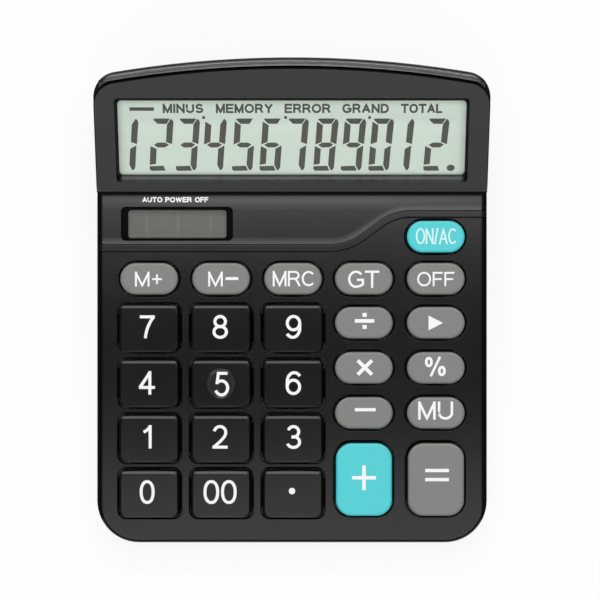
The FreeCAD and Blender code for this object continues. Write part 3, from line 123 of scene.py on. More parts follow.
class Graph:
    """The nodes of one material or of the world."""

    def __init__(self, tree: bpy.types.NodeTree, kind: str = "Material") -> None:
        """Empties the node tree of a material or a world to build in it."""
        self.tree, self.kind = tree, kind
        tree.nodes.clear()

    @classmethod
    def of_material(cls, name: str) -> tuple["Graph", bpy.types.Material]:
        """Makes a material and its empty graph."""
        material = bpy.data.materials.new(name)
        material.use_nodes = True
        return cls(material.node_tree), material

    def feed(self, socket: bpy.types.NodeSocket, value: object) -> None:
        """Gives a socket its value.

        Args:
            socket: The input socket.
            value: A value to link, or a plain number or colour to set.
        """
        if isinstance(value, Value):
            self.tree.links.new(value.socket, socket)
        elif socket.type == "RGBA":
            socket.default_value = (*value, 1.0)
        else:
            socket.default_value = value

    def node(
        self,
        kind: str,
        settings: dict[str, object] | None = None,
        inputs: dict[Union[int, str], object] | None = None,
        output: Union[int, str] = 0,
    ) -> Value | None:
        """Adds a node.

        Args:
            kind: The node's type.
            settings: Its own settings, set first.
            inputs: Values or links for its sockets, by name or number.
            output: The output socket that is wanted.

        Returns:
            That output.
        """
        made = self.tree.nodes.new(kind)
        for name, value in (settings or {}).items():
            setattr(made, name, value)
        for name, value in (inputs or {}).items():
            self.feed(made.inputs[name], value)
        return Value(self, made.outputs[output]) if made.outputs else None

    def math(self, operation: str, *values: Number) -> Value:
        """Adds one Math node."""
        return self.node("ShaderNodeMath", {"operation": operation}, dict(enumerate(values)))

    def most(self, *values: Value) -> Value:
        """Returns the greatest of some values."""
        first, *others = values
        return self.math("MAXIMUM", first, self.most(*others)) if others else first

    def place(self) -> Value:
        """Returns the point in the piece's own frame."""
        return self.node("ShaderNodeTexCoord", output="Object")

    def axes(self, vector: Value) -> Triple:
        """Splits a vector into its three parts."""
        outputs = self.node("ShaderNodeSeparateXYZ", inputs={0: vector}).socket.node.outputs
        return tuple(Value(self, outputs[number]) for number in range(3))

    def _turned(self, parts: Sequence[Number], slope: Slope) -> Triple:
        """Turns a vector's parts into those across, up and out of a plane."""
        across, deep, high = parts
        cos, sin = math.cos(slope.tilt), math.sin(slope.tilt)
        return across, deep * cos + high * sin, high * cos - deep * sin

    def along(self, slope: Slope) -> Triple:
        """Returns the point's places across, up and out of a plane, in millimetres."""
        across, deep, high = self.axes(self.place())
        parts = (across / MM, (deep - slope.start.y) / MM, (high - slope.start.z) / MM)
        return self._turned(parts, slope)

    def facing(self, slope: Slope) -> Triple:
        """Returns the parts of the surface's direction across, up and out of a plane."""
        return self._turned(self.axes(self.node("ShaderNodeTexCoord", output="Normal")), slope)

    def ramp(self, value: Value, low: float, high: float, smooth: bool = False) -> Value:
        """Returns 0 below one limit and 1 above the other."""
        settings = {"clamp": True, "interpolation_type": "SMOOTHSTEP" if smooth else "LINEAR"}
        return self.node("ShaderNodeMapRange", settings, {0: value, 1: low, 2: high})

    def band(self, along: Value, middle: float, width: float, blur: float) -> Value:
        """Returns a soft line: 1 within a width of a middle, fading out over a blur."""
        inputs = {0: abs(along - middle), 1: width / 2, 2: width / 2 + blur, 3: 1.0, 4: 0.0}
        return self.node("ShaderNodeMapRange", {"clamp": True}, inputs)

    def noise(self, place: Value, size: float, detail: float = 2.0) -> Value:
        """Returns cloudy noise from 0 to 1 whose lumps have a size in metres."""
        inputs = {"Vector": place, "Scale": 1.0 / size, "Detail": detail}
        return self.node("ShaderNodeTexNoise", inputs=inputs)

    def mix(self, factor: Number, first: object, second: object) -> Value:
        """Mixes two colours."""
        inputs = {0: factor, 6: first, 7: second}
        return self.node("ShaderNodeMix", {"data_type": "RGBA"}, inputs, 2)

    def bump(self, height: Value, depth: float) -> Value:
        """Returns a normal that a height from 0 to 1 roughens, to a depth in metres."""
        inputs = {"Height": height, "Distance": depth, "Strength": 1.0}
        return self.node("ShaderNodeBump", inputs=inputs)

    def principled(self, **values: object) -> Value:
        """Adds the main shader with its sockets named in words joined by underscores."""
        inputs = {name.replace("_", " "): value for name, value in values.items()}
        return self.node("ShaderNodeBsdfPrincipled", inputs=inputs)

    def finish(self, shader: Value) -> None:
        """Sends a shader to the output."""
        self.node(f"ShaderNodeOutput{self.kind}", inputs={"Surface": shader})


# ---- finishes


def shade(colour: Colour, factor: float) -> Colour:
    """Returns a colour that is darker or paler by a factor."""
    return tuple(part * factor for part in colour)


@dataclass(frozen=True)
class Finish:
    """A finish, which makes its own material."""

    name: str

    def shader(self, graph: Graph, place: Value) -> Value:
        """Builds the finish's shader.

        Args:
            graph: The material's graph.
            place: The point in the piece's own frame.

        Returns:
            The shader.
        """
        raise NotImplementedError

    def material(self) -> bpy.types.Material:
        """Builds the material."""
        graph, material = Graph.of_material(self.name)
        graph.finish(self.shader(graph, graph.place()))
        return material


@dataclass(frozen=True)
class Plastic(Finish):
    """Moulded plastic: an even colour, a satin sheen and a fine spark-eroded grain."""

    colour: Colour
    roughness: float
    specular: float = 0.3
    grain: float = 0.0008
    grain_size: float = 0.28
    mottle: float = 0.12
    # the colour of the painted highlights that a subclass's marks mix in
    painted_shading: Colour = (0.1, 0.1, 0.1)

    def marks(self, graph: Graph) -> tuple[Value, Value] | None:
        """Finds where light and shade are painted on the surface.

        Args:
            graph: The material's graph.

        Returns:
            How far the surface turns to its painted highlight colour, and how far to painted
            dead-black shade.
        """
        return None

    def shader(self, graph: Graph, place: Value) -> Value:
        """Builds the shader: clouds and grain, then the painted highlights and painted shade
        where there are any.
        """
        clouds = graph.noise(place, 11 * MM, 3.0)
        fine = graph.noise(place, self.grain_size * MM, 4.0)
        deep, pale = shade(self.colour, 1 - self.mottle), shade(self.colour, 1 + self.mottle)
        base = graph.mix(clouds * 0.7 + fine * 0.3, deep, pale)
        marks = self.marks(graph)
        plastic = graph.principled(
            Base_Color=graph.mix(marks[0], base, self.painted_shading) if marks else base,
            Roughness=self.roughness + (clouds - 0.5) * 0.06 + (fine - 0.5) * 0.08,
            Specular_IOR_Level=self.specular,
            Normal=graph.bump(fine, self.grain * MM),
        )
        if not marks:
            return plastic
        # painted shade: a dead-black matt shader mixed in where the marks paint shade
        dead = (0.001, 0.001, 0.001)
        black = graph.principled(Base_Color=dead, Roughness=0.9, Specular_IOR_Level=0.05)
        return graph.node("ShaderNodeMixShader", inputs={0: marks[1], 1: plastic, 2: black})


@dataclass(frozen=True)
class CaseTop(Plastic):
    """The upper case: painted highlights on the rolled rim behind the display and on the plate,
    painted black shade in its trough, cell well, key holes and on its rounded sides.
    """

    # colour of the painted highlights
    painted_shading: Colour = (0.2, 0.2, 0.2)
    # how much paler the painted highlights on the plate are
    sheen: float = 0.26
    ridge: Point = (90.5, 100.75)
    ridge_bend: Point = (12.2, 35.0)
    plate_end: float = 105.2
    plate_height: Point = (0.6, 0.85)
    trough: float = 1.4
    head_start: float = 112.0
    cell_middle: Point = (-34.8, 96.6)
    cell_half: Point = (17.2, 5.35)
    key_field: tuple[float, float, float] = (54.0, 6.5, 100.0)
    bevel: Point = (57.1, 57.6)

    def marks(self, graph: Graph) -> tuple[Value, Value]:
        """Returns the painted highlights and the painted shade."""
        side, rise, out = graph.facing(DECK)
        u, v, w = graph.along(DECK)
        _, _, lift = graph.along(FACE)
        # painted highlight along the head's rolled rear rim, fainter towards the front and the
        # sides
        front = graph.ramp(rise * -1.0, 0.0, 0.1) * graph.ramp(abs(u), 10.0, 45.0) * 0.5
        crest = graph.ramp(abs(rise - 0.03), 0.1, 0.28) * 0.75 + 0.25
        crest = crest * (1.0 - front) * (1.0 - graph.ramp(abs(side), 0.1, 0.4))
        rim = graph.ramp(lift, -1.0, -0.5) * graph.ramp(out, 0.45, 0.95)
        rim = rim * (v > self.head_start) * crest
        # painted highlights on the plate, along the ridge and under the display's foot
        (low, high), (bottom, top) = self.ridge, self.plate_height
        over = v - (graph.ramp(u, *self.ridge_bend, True) * (high - low) + low)
        down = self.plate_end - v
        plate = (over > -0.25) * (down > -0.3) * (w > bottom) * (w < top)
        foot = (1.0 - graph.ramp(over, 0.1, 2.2)) * 1.5
        head = graph.ramp(down, 0.1, 1.3) * (1.0 - graph.ramp(down, 1.5, 4.6))
        head = head * (graph.band(u, 0.0, 40.0, 50.0) * 0.7 + 0.3)
        pale = rim + plate * graph.most(foot, head) * self.sheen
        # painted shade where the plate ends under the display's foot, in the trough, in the
        # cell's well, in the key holes and on the rounded sides
        end = plate * (1.0 - graph.ramp(down, -0.05, 0.25))
        trough = (v > self.plate_end - 0.1) * (v < self.plate_end + self.trough)
        trough = trough * (w > -4.0) * (w < 0.5) * (abs(u) < self.bevel[1])
        (middle_u, middle_v), (half_u, half_v) = self.cell_middle, self.cell_half
        well = (abs(u - middle_u) < half_u) * (abs(v - middle_v) < half_v) * (w < 0.5)
        half, near, far = self.key_field
        holes = (w < -0.15) * (v > near) * (v < far) * (abs(u) < half)
        rounded = graph.ramp(abs(u), *self.bevel) * graph.ramp(out, 0.08, 0.3)
        recesses = trough * 0.9 + end * 0.7 + well * 0.95
        return pale, graph.most(recesses, holes * 0.85, rounded * 0.85)


@dataclass(frozen=True)
class Surround(Plastic):
    """The display's surround: painted black shade on the walls round the window, a painted
    highlight line on its low ledge, a painted lighter foot.
    """

    # colour of the painted highlights
    painted_shading: Colour = (0.115, 0.115, 0.115)
    # where up the face the painted highlight line on the ledge lies
    ledge: float = 3.7
    half_width: float = 52.4

    def marks(self, graph: Graph) -> tuple[Value, Value]:
        """Returns the painted highlights and the painted shade."""
        _, rise, out = graph.facing(FACE)
        u, v, _ = graph.along(FACE)
        inner = (v < 5.0) * (abs(u) < self.half_width)
        ledge = graph.ramp(rise, 0.3, 0.5) * inner
        ends = graph.ramp(abs(u), self.half_width - 1.4, self.half_width - 0.3) * ledge
        # painted highlight line on the ledge and a painted lighter foot; painted black shade on
        # the steep walls and at the ledge's ends
        pale = ledge * (graph.band(v, self.ledge, 0.2, 0.2) * 0.8 + 0.2)
        foot = graph.ramp(rise * -1.0, 0.2, 0.5) * (v < 1.5)
        steep = (1.0 - graph.ramp(out, 0.75, 0.95)) * (v > 2.0) * (1.0 - ledge)
        return (pale + foot) * (1.0 - ends), graph.most(steep * 0.92, ends * 0.95)


@dataclass(frozen=True)
class KeyCap(Plastic):
    """A key's plastic: painted black shade on its walls down in the case, a painted highlight on
    its rear rounding.
    """

    # strength of the painted highlight on the rear rounding, and how black the painted shade on
    # the walls is
    rear: float = 0.25
    black: float = 0.92
    rim_height: float = 0.6

    def marks(self, graph: Graph) -> tuple[Value, Value]:
        """Returns the painted highlights and the painted shade."""
        _, rise, out = graph.facing(DECK)
        low = graph.along(DECK)[2] < self.rim_height
        # painted highlight on the rear rounding; painted black shade on the steep walls and below
        # the rim height
        rear = graph.ramp(rise, 0.1, 0.35) * graph.ramp(out, 0.5, 0.7) * self.rear
        return rear, graph.most(1.0 - graph.ramp(out, 0.3, 0.5), low) * self.black


@dataclass(frozen=True)
class DigitCap(KeyCap):
    """A number key's plastic: thin painted highlight lines inside its rear and front rims, a
    painted highlight on the 5's dimple, painted black shade on its sides.
    """

    middle: Point = (0.3, 15.06)
    pitch: Point = (21.7, 16.65)
    disc: Point = (-21.4, 48.36)
    disc_radius: float = 4.35

    def marks(self, graph: Graph) -> tuple[Value, Value]:
        """Returns the painted highlights and the painted shade."""
        side, rise, _ = graph.facing(DECK)
        u, v, w = graph.along(DECK)
        # painted black shade on the walls, less towards the rear, and on the sides
        walls = KeyCap.marks(self, graph)[1] * (1.0 - graph.ramp(rise, 0.4, 0.8) * 0.75)
        black = graph.most(walls, graph.ramp(abs(side), 0.4, 0.7) * 0.9)
        # painted highlight lines inside the rear and front rims of each key in the grid
        half_u, half_v = (pitch / 2 for pitch in self.pitch)
        across = abs(graph.math("WRAP", u - self.middle[0], half_u, -half_u))
        up = graph.math("WRAP", v - self.middle[1], half_v, -half_v)
        lines = graph.band(up, 6.42, 0.5, 0.2) + graph.band(up, -7.03, 0.3, 0.2) * 0.36
        lines = lines * (1.0 - graph.ramp(across, 7.7, 8.9)) * (w > 2.0)
        # painted highlight on the dimple of the 5 and a paler ring round it
        off_u, off_v = u - self.disc[0], v - self.disc[1]
        off = graph.math("SQRT", off_u * off_u + off_v * off_v)
        dish = (1.0 - graph.ramp(off, self.disc_radius - 0.2, self.disc_radius + 0.2)) * 0.12
        dish = dish + graph.band(off, self.disc_radius - 0.5, 0.3, 0.5) * 0.16
        return lines + dish, black


@dataclass(frozen=True)
class Ink(Finish):
    """Printed paint: flat, slightly uneven, matter than what it lies on."""

    colour: Colour
    roughness: float = 0.55

    def shader(self, graph: Graph, place: Value) -> Value:
        """Builds the shader: a slightly patchy coat."""
        patchy = graph.noise(place, 0.35 * MM, 3.0)
        return graph.principled(
            Base_Color=graph.mix(patchy, shade(self.colour, 0.93), self.colour),
            Roughness=self.roughness + (patchy - 0.5) * 0.1,
            Specular_IOR_Level=0.3,
        )


@dataclass(frozen=True)
class DisplayFilm(Finish):
    """The display's front film: pale grey-green, painted lighter at its top, painted shade at its
    sides, with a faint painted glow.
    """

    name: str = "display_film"
    colour: Colour = (0.770, 0.885, 0.780)
    # colours of the painted lighter top, the painted side shade and the painted glow, and the
    # glow's strength
    top: Colour = (0.91, 1.0, 0.925)
    painted_shading: Colour = (0.60, 0.70, 0.60)
    low_glow: Colour = (0.43, 0.49, 0.43)
    top_glow: Colour = (0.62, 1.0, 0.72)
    glow: float = 0.09
    half_width: float = 53.0
    fade: float = 3.0
    rise: Point = (16.0, 26.0)

    def shader(self, graph: Graph, place: Value) -> Value:
        """Builds the shader: the film's ground painted lighter up its height, painted shade at
        its sides, faint clouds, a painted glow and its fine fibres.
        """
        u, v, _ = graph.along(FACE)
        # painted shade towards the film's sides
        rim = graph.ramp(abs(u), self.half_width - self.fade, self.half_width)
        clouds = graph.noise(place, 9 * MM)
        fibres = graph.noise(place, 0.12 * MM)
        height = graph.ramp(v, *self.rise)
        ground = graph.mix(height, self.colour, self.top)
        return graph.principled(
            Base_Color=graph.mix(rim * 0.5 + clouds * 0.08, ground, self.painted_shading),
            Roughness=0.5 + (fibres - 0.5) * 0.1,
            Specular_IOR_Level=0.2,
            # painted glow: the film shines faintly, more at its top
            Emission_Color=graph.mix(height, self.low_glow, self.top_glow),
            Emission_Strength=self.glow,
            Normal=graph.bump(fibres, 0.001 * MM),
        )


@dataclass(frozen=True)
class Clear(Finish):
    """Clear moulded plastic or glass: almost all of it lets the light through."""

    tint: Colour
    alpha: float
    roughness: float = 0.05

    def shader(self, graph: Graph, place: Value) -> Value:
        """Builds the shader: a clear sheet with faint smears."""
        smears = graph.noise(place, 14 * MM, 3.0)
        return graph.principled(
            Base_Color=self.tint,
            Roughness=self.roughness + smears * 0.05,
            Alpha=self.alpha + smears * 0.02,
            Specular_IOR_Level=0.3,
        )


@dataclass(frozen=True)
class SolarFace(Finish):
    """The solar cell's face: grey-brown, with thin lighter lines between its strips and a painted
    highlight line along its low side.
    """

    name: str = "solar_face"
    colour: Colour = (0.161, 0.151, 0.139)
    # the lines' colour, which the painted highlight along the low side also takes
    line: Colour = (0.205, 0.194, 0.180)
    dividers: tuple[float, ...] = (-44.15, -34.65, -24.75)
    low_highlight: float = 93.0

    def shader(self, graph: Graph, place: Value) -> Value:
        """Builds the shader: the strips' lines and the painted highlight along the low side, over
        a fine-grained face.
        """
        across = graph.axes(place)[0]
        # painted highlight along the cell's low side
        lines = graph.band(graph.along(DECK)[1], self.low_highlight, 0.25, 0.25)
        for middle in self.dividers:
            lines = graph.band(across, middle * MM, 0.35 * MM, 0.5 * MM) * 0.6 + lines
        grains = graph.noise(place, 0.5 * MM, 3.0)
        face = graph.mix(grains, shade(self.colour, 0.94), self.colour)
        return graph.principled(
            Base_Color=graph.mix(graph.math("MINIMUM", lines, 1.0), face, self.line),
            Roughness=0.32 + grains * 0.08,
            Specular_IOR_Level=0.4,
        )


@dataclass(frozen=True)
class Metal(Finish):
    """Plated or brushed metal, with fine scratches along one direction."""

    colour: Colour
    roughness: float

    def shader(self, graph: Graph, place: Value) -> Value:
        """Builds the shader: fine scratches drawn along one direction."""
        stretch = {0: place, 1: (1.0, 14.0, 14.0)}
        drawn = graph.node("ShaderNodeVectorMath", {"operation": "MULTIPLY"}, stretch)
        scratches = graph.noise(drawn, 1.2 * MM, 4.0)
        return graph.principled(
            Base_Color=graph.mix(scratches, shade(self.colour, 0.8), self.colour),
            Metallic=1.0,
            Roughness=self.roughness + (scratches - 0.5) * 0.2,
            Normal=graph.bump(scratches, 0.003 * MM),
        )


@dataclass(frozen=True)
class CellJacket(Finish):
    """The cell's jacket: two plain colours round the can, bare metal at its ends."""

    name: str = "cell_jacket"
    colour: Colour = (0.03, 0.035, 0.04)
    band: Colour = (0.55, 0.33, 0.10)
    metal: Colour = (0.62, 0.62, 0.60)
    can: Point = (-21.7, 26.6)
    band_end: float = -8.0

    def shader(self, graph: Graph, place: Value) -> Value:
        """Builds the shader: the jacket's two colours between the bare ends."""
        along = graph.axes(place)[0]
        jacket = graph.mix(along < self.band_end * MM, self.colour, self.band)
        bare = (along < self.can[0] * MM) + (along > self.can[1] * MM)
        return graph.principled(
            Base_Color=graph.mix(bare, jacket, self.metal),
            Metallic=bare,
            Roughness=0.25 + graph.noise(place, 2.5 * MM, 4.0) * 0.12,
            Specular_IOR_Level=0.5,
        )


@dataclass(frozen=True)
class BoardLacquer(Finish):
    """The circuit board: green lacquer over lighter copper runs."""

    name: str = "board_green"
    colour: Colour = (0.02, 0.11, 0.045)
    run: Colour = (0.05, 0.20, 0.08)
    cell_size: float = 3.2

    def shader(self, graph: Graph, place: Value) -> Value:
        """Builds the shader: square-cornered runs under the lacquer."""
        inputs = {"Vector": place, "Scale": 1.0 / (self.cell_size * MM), "Randomness": 0.6}
        cells = graph.node("ShaderNodeTexVoronoi", {"distance": "MANHATTAN"}, inputs)
        runs = graph.ramp(cells, 0.34, 0.40)
        return graph.principled(
            Base_Color=graph.mix(runs, self.colour, self.run),
            Roughness=0.28 + graph.noise(place, 2 * MM) * 0.1,
            Specular_IOR_Level=0.5,
            Normal=graph.bump(runs, 0.02 * MM),
        )


BLACK_PLASTIC = (0.0050, 0.0050, 0.0052)
SMOKE = (0.02, 0.02, 0.02)
CASE_BLACK = Plastic("case_black", BLACK_PLASTIC, 0.16, 0.30)
KEY_BLACK = DigitCap("key_black", (0.0040, 0.0040, 0.0042), 0.16, 0.28)
# the paler colours given to the grey and teal keys are those of their painted highlights
KEY_GREY = KeyCap("key_grey", (0.208, 0.213, 0.203), 0.42, mottle=0.04, painted_shading=(0.45, 0.45, 0.44))
KEY_TEAL = KeyCap("key_teal", (0.075, 0.62, 0.66), 0.42, mottle=0.03, painted_shading=(0.3, 0.85, 0.88))
WIRE_RED = Plastic("wire_red", (0.42, 0.02, 0.02), 0.4, 0.4)
WIRE_BLACK = Plastic("wire_black", (0.015, 0.015, 0.015), 0.4, 0.4)
LEGEND_WHITE = Ink("legend_white", (0.95, 0.95, 0.95))
LEGEND_PALE = Ink("legend_pale", (0.72, 0.93, 0.94))
SEGMENT_INK = Ink("segment_ink", (0.107, 0.110, 0.096), 0.5)
PLATED = Metal("plated_metal", (0.72, 0.72, 0.69), 0.26)
SCREW_STEEL = Metal("screw_steel", (0.42, 0.42, 0.43), 0.34)
GLASS = Clear("display_glass", (0.80, 0.88, 0.83), 0.30)


class PaintShop:
    """Makes each finish once and puts it on the pieces that take it."""

    def __init__(self) -> None:
        """Starts with no material made."""
        self.made: dict[str, bpy.types.Material] = {}

    def paint(self, piece: bpy.types.Object, finish: Finish) -> None:
        """Puts a finish on every slot of a piece.

        Args:
            piece: The piece.
            finish: Its finish.
        """
        if finish.name not in self.made:
            self.made[finish.name] = finish.material()
        slots = piece.data.materials
        if not slots:
            slots.append(None)
        for number in range(len(slots)):
            slots[number] = self.made[finish.name]
        LOG.info("%s: %s", piece.name, finish.name)

    def dress(self, finishes: dict[str, Finish]) -> None:
        """Puts their finishes on the nodes of these names."""
        for name, finish in finishes.items():
            self.paint(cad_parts[name], finish)


def add(name: str, data: bpy.types.ID) -> bpy.types.Object:
    """Adds an object to the scene."""
    thing = bpy.data.objects.new(name, data)
    bpy.context.scene.collection.objects.link(thing)
    return thing


# ---- lettering


ARC_STEP = 9
BEND_STEPS = 10
SHARPEST_BEND = 0.55


def arc(
    cx: float, cy: float, rx: float, ry: float, start: float, end: float, square: float = 2.0
) -> Path:
    """Returns points along part of an oval.

    Args:
        cx: Its middle across.
        cy: Its middle up.
        rx: Half its width.
        ry: Half its height.
        start: The first angle, in degrees.
        end: The last angle, clockwise where it is less than the first.
        square: 2 for an ellipse, more for straighter sides.

    Returns:
        The points.
    """
    steps = max(6, round(abs(end - start) / ARC_STEP))
    points = []
    for step in range(steps + 1):
        angle = math.radians(start + (end - start) * step / steps)
        c, s = math.cos(angle), math.sin(angle)
        x = math.copysign(abs(c) ** (2 / square), c)
        y = math.copysign(abs(s) ** (2 / square), s)
        points.append((cx + rx * x, cy + ry * y))
    return points


def bend(first: Point, pull: Point, last: Point) -> Path:
    """Returns points along a curve.

    Args:
        first: Its first end.
        pull: The point that pulls it aside.
        last: Its last end.

    Returns:
        The points.
    """
    points = []
    for step in range(BEND_STEPS + 1):
        t = step / BEND_STEPS
        a, b, c = (1 - t) ** 2, 2 * t * (1 - t), t * t
        points.append(tuple(a * p + b * q + c * r for p, q, r in zip(first, pull, last)))
    return points


class End(Enum):
    """How a stroke ends."""

    SQUARE = "square"
    CUT = "cut"
    LOOP = "loop"


@dataclass(frozen=True)
class Stroke:
    """One stroke of a letter, along its middle line."""

    path: Path
    end: End = End.SQUARE


@dataclass(frozen=True)
class Letter:
    """A letter in a box one unit high, measured along the middle of its strokes."""

    width: float
    strokes: tuple[Stroke, ...]


def letter(width: float, *strokes: Stroke) -> Letter:
    """Returns a letter of some strokes."""
    return Letter(width, strokes)


def line(*points: Point) -> Stroke:
    """Returns a stroke with square ends."""
    return Stroke(list(points))


def stem(across: float) -> Stroke:
    """Returns an upright stroke."""
    return line((across, 0), (across, 1))


def bar(across: float, up: float) -> Stroke:
    """Returns a level stroke from the letter's left side."""
    return line((0, up), (across, up))


def cut(path: Path) -> Stroke:
    """Returns a stroke that stops at its last point."""
    return Stroke(path, End.CUT)


def loop(path: Path) -> Stroke:
    """Returns a closed stroke."""
    return Stroke(path[:-1], End.LOOP)


def ring(cx: float, cy: float, rx: float, ry: float, square: float = 2.0) -> Stroke:
    """Returns a closed oval stroke."""
    return loop(arc(cx, cy, rx, ry, 0, 360, square))


def turned(path: Path, width: float) -> Path:
    """Returns a path turned half round in its letter's box."""
    return [(width - x, 1 - y) for x, y in path]


SIX_BACK = arc(0.35, 0.57, 0.35, 0.43, 38, 180) + [(0.0, 0.33)]
SIX_BOWL = arc(0.31, 0.32, 0.31, 0.32, 0, 360)
TWO_BACK = arc(0.315, 0.715, 0.285, 0.285, 168, -28)
G_BACK = arc(0.43, 0.5, 0.43, 0.5, 40, 290)
LETTERS = {
    "0": letter(0.62, ring(0.31, 0.5, 0.31, 0.5, 2.25)),
    "1": letter(0.32, stem(0.32), cut(bend((0.0, 0.73), (0.2, 0.81), (0.31, 1.0)))),
    "2": letter(
        0.62,
        cut(TWO_BACK + bend((0.54, 0.52), (0.4, 0.32), (0.03, 0.02))),
        line((0.02, 0), (0.62, 0)),
    ),
    "3": letter(
        0.62,
        cut(arc(0.30, 0.75, 0.265, 0.25, 162, -90) + [(0.2, 0.5)]),
        cut([(0.24, 0.5)] + arc(0.30, 0.26, 0.31, 0.26, 80, -162)),
    ),
    "4": letter(
        0.64, stem(0.47), cut([(0.47, 1.0), (0.0, 0.28)]), line((0.02, 0.28), (0.64, 0.28))
    ),
    "5": letter(
        0.62,
        cut([(0.6, 1.0), (0.14, 1.0), (0.07, 0.5)]),
        cut(arc(0.30, 0.325, 0.31, 0.325, 142, -158)),
    ),
    "6": letter(0.62, cut(SIX_BACK), loop(SIX_BOWL)),
    "7": letter(0.60, bar(0.6, 1), cut(bend((0.62, 1.0), (0.27, 0.55), (0.2, -0.07)))),
    "8": letter(0.62, ring(0.31, 0.755, 0.262, 0.245), ring(0.31, 0.262, 0.31, 0.262)),
    "9": letter(0.62, cut(turned(SIX_BACK, 0.62)), loop(turned(SIX_BOWL, 0.62))),
    "A": letter(
        0.82, cut([(-0.01, -0.07), (0.41, 1.0), (0.83, -0.07)]), cut([(0.16, 0.31), (0.66, 0.31)])
    ),
    "C": letter(0.80, cut(arc(0.42, 0.5, 0.42, 0.5, 42, 318))),
    "D": letter(
        0.74, stem(0), cut([(0, 1), (0.3, 1)] + arc(0.32, 0.5, 0.42, 0.5, 90, -90) + [(0, 0)])
    ),
    "E": letter(0.66, stem(0), bar(0.66, 1), bar(0.6, 0.52), bar(0.66, 0)),
    "F": letter(0.60, stem(0), bar(0.60, 1), bar(0.52, 0.5)),
    "G": letter(
        0.86,
        cut(G_BACK + bend((0.62, 0.04), (0.75, 0.07), (0.86, 0.18))),
        cut([(0.86, 0.12), (0.86, 0.46), (0.48, 0.46)]),
    ),
    "I": letter(0.0, stem(0)),
    "L": letter(0.56, stem(0), bar(0.56, 0)),
    "M": letter(0.84, stem(0), stem(0.84), cut([(0.0, 1.0), (0.42, 0.0), (0.84, 1.0)])),
    "N": letter(0.72, stem(0), stem(0.72), cut([(0.0, 1.0), (0.72, 0.0)])),
    "O": letter(0.88, ring(0.44, 0.5, 0.44, 0.5, 2.1)),
    "P": letter(
        0.66,
        stem(0),
        cut([(0, 1), (0.38, 1)] + arc(0.39, 0.735, 0.27, 0.265, 90, -90) + [(0, 0.47)]),
    ),
    "R": letter(
        0.74,
        stem(0),
        cut([(0, 1), (0.42, 1)] + arc(0.43, 0.745, 0.26, 0.255, 90, -90) + [(0, 0.49)]),
        cut(bend((0.42, 0.49), (0.56, 0.42), (0.76, -0.07))),
    ),
    "S": letter(
        0.68,
        cut(arc(0.34, 0.745, 0.31, 0.255, 18, 250) + arc(0.33, 0.26, 0.35, 0.26, 68, -162)),
    ),
    "T": letter(0.76, bar(0.76, 1), stem(0.38)),
    "U": letter(
        0.72, cut([(0, 1.07), (0, 0.34)] + arc(0.36, 0.36, 0.36, 0.36, 180, 360) + [(0.72, 1.07)])
    ),
    "W": letter(1.14, cut([(0, 1.07), (0.29, 0.0), (0.57, 1.0), (0.85, 0.0), (1.14, 1.07)])),
    "Y": letter(0.80, cut([(0, 1.07), (0.4, 0.45), (0.8, 1.07)]), line((0.4, 0), (0.4, 0.45))),
    "/": letter(0.34, cut([(0, -0.07), (0.34, 1.07)])),
}


@dataclass(frozen=True)
class Ribbon:
    """A stroke's two edges, ready to be laid on a surface."""

    left: Path
    right: Path
    closed: bool


def ribbon(path: Sequence[Point], weight: float, end: End) -> Ribbon:
    """Widens a middle line into a ribbon with mitred bends.

    Args:
        path: The middle line, in millimetres.
        weight: The ribbon's width.
        end: How its ends are finished.

    Returns:
        The ribbon.
    """
    half = weight / 2
    points = [Vector(point) for point in path]
    closed = end is End.LOOP
    after = [(b - a).normalized() for a, b in zip(points, points[1:] + points[:1])]
    if not closed:
        after[-1] = after[-2]
    before = [after[-1 if closed else 0]] + after[:-1]
    if end is End.SQUARE:
        points[0] = points[0] - after[0] * half
        points[-1] = points[-1] + after[-1] * half
    left, right = [], []
    for here, into, out in zip(points, before, after):
        along = (into + out).normalized()
        spread = 1.0 / max(SHARPEST_BEND, math.sqrt((1 + into.dot(out)) / 2))
        side = Vector((-along.y, along.x)) * half * spread
        left.append(tuple(here + side))
        right.append(tuple(here - side))
    return Ribbon(left, right, closed)


def disc(x: float, y: float, radius: float) -> Path:
    """Returns the outline of a round dot."""
    return arc(x, y, radius, radius, 0, 360)[:-1]


def fine(path: Sequence[Point], step: float, closed: bool) -> Path:
    """Divides a path's long runs, so that it can follow a curved surface.

    Args:
        path: The path.
        step: The longest run that may stay.
        closed: Whether its last point runs back to its first.

    Returns:
        The path with more points.
    """
    ends = list(path[1:]) + ([path[0]] if closed else [])
    points = [path[0]]
    for start, end in zip(path, ends):
        count = max(1, math.ceil(math.dist(start, end) / step))
        for number in range(1, count + 1):
            share = number / count
            points.append(tuple(a + (b - a) * share for a, b in zip(start, end)))
    return points[:-1] if closed else points


class Ground:
    """The surface of a node, seen along the normal of a sloping plane."""

    FAR = 40.0

    def __init__(self, node: str, slope: Slope) -> None:
        """Reads a node's faces."""
        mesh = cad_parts[node].data
        corners = [vertex.co.copy() for vertex in mesh.vertices]
        faces = [tuple(polygon.vertices) for polygon in mesh.polygons]
        self.tree = BVHTree.FromPolygons(corners, faces)
        self.slope = slope

    def drop(self, u: float, v: float, lift: float) -> Vector:
        """Finds the point of the surface under a place.

        Args:
            u: The place across the plane.
            v: The place up the plane.
            lift: How far over the surface the point is, in millimetres.

        Returns:
            The point.
        """
        high = self.slope.point(u, v, self.FAR)
        hit = self.tree.ray_cast(high, -self.slope.normal())[0]
        if hit is None:
            raise ValueError(f"nothing lies under {u}, {v}")
        return hit + self.slope.normal() * lift * MM


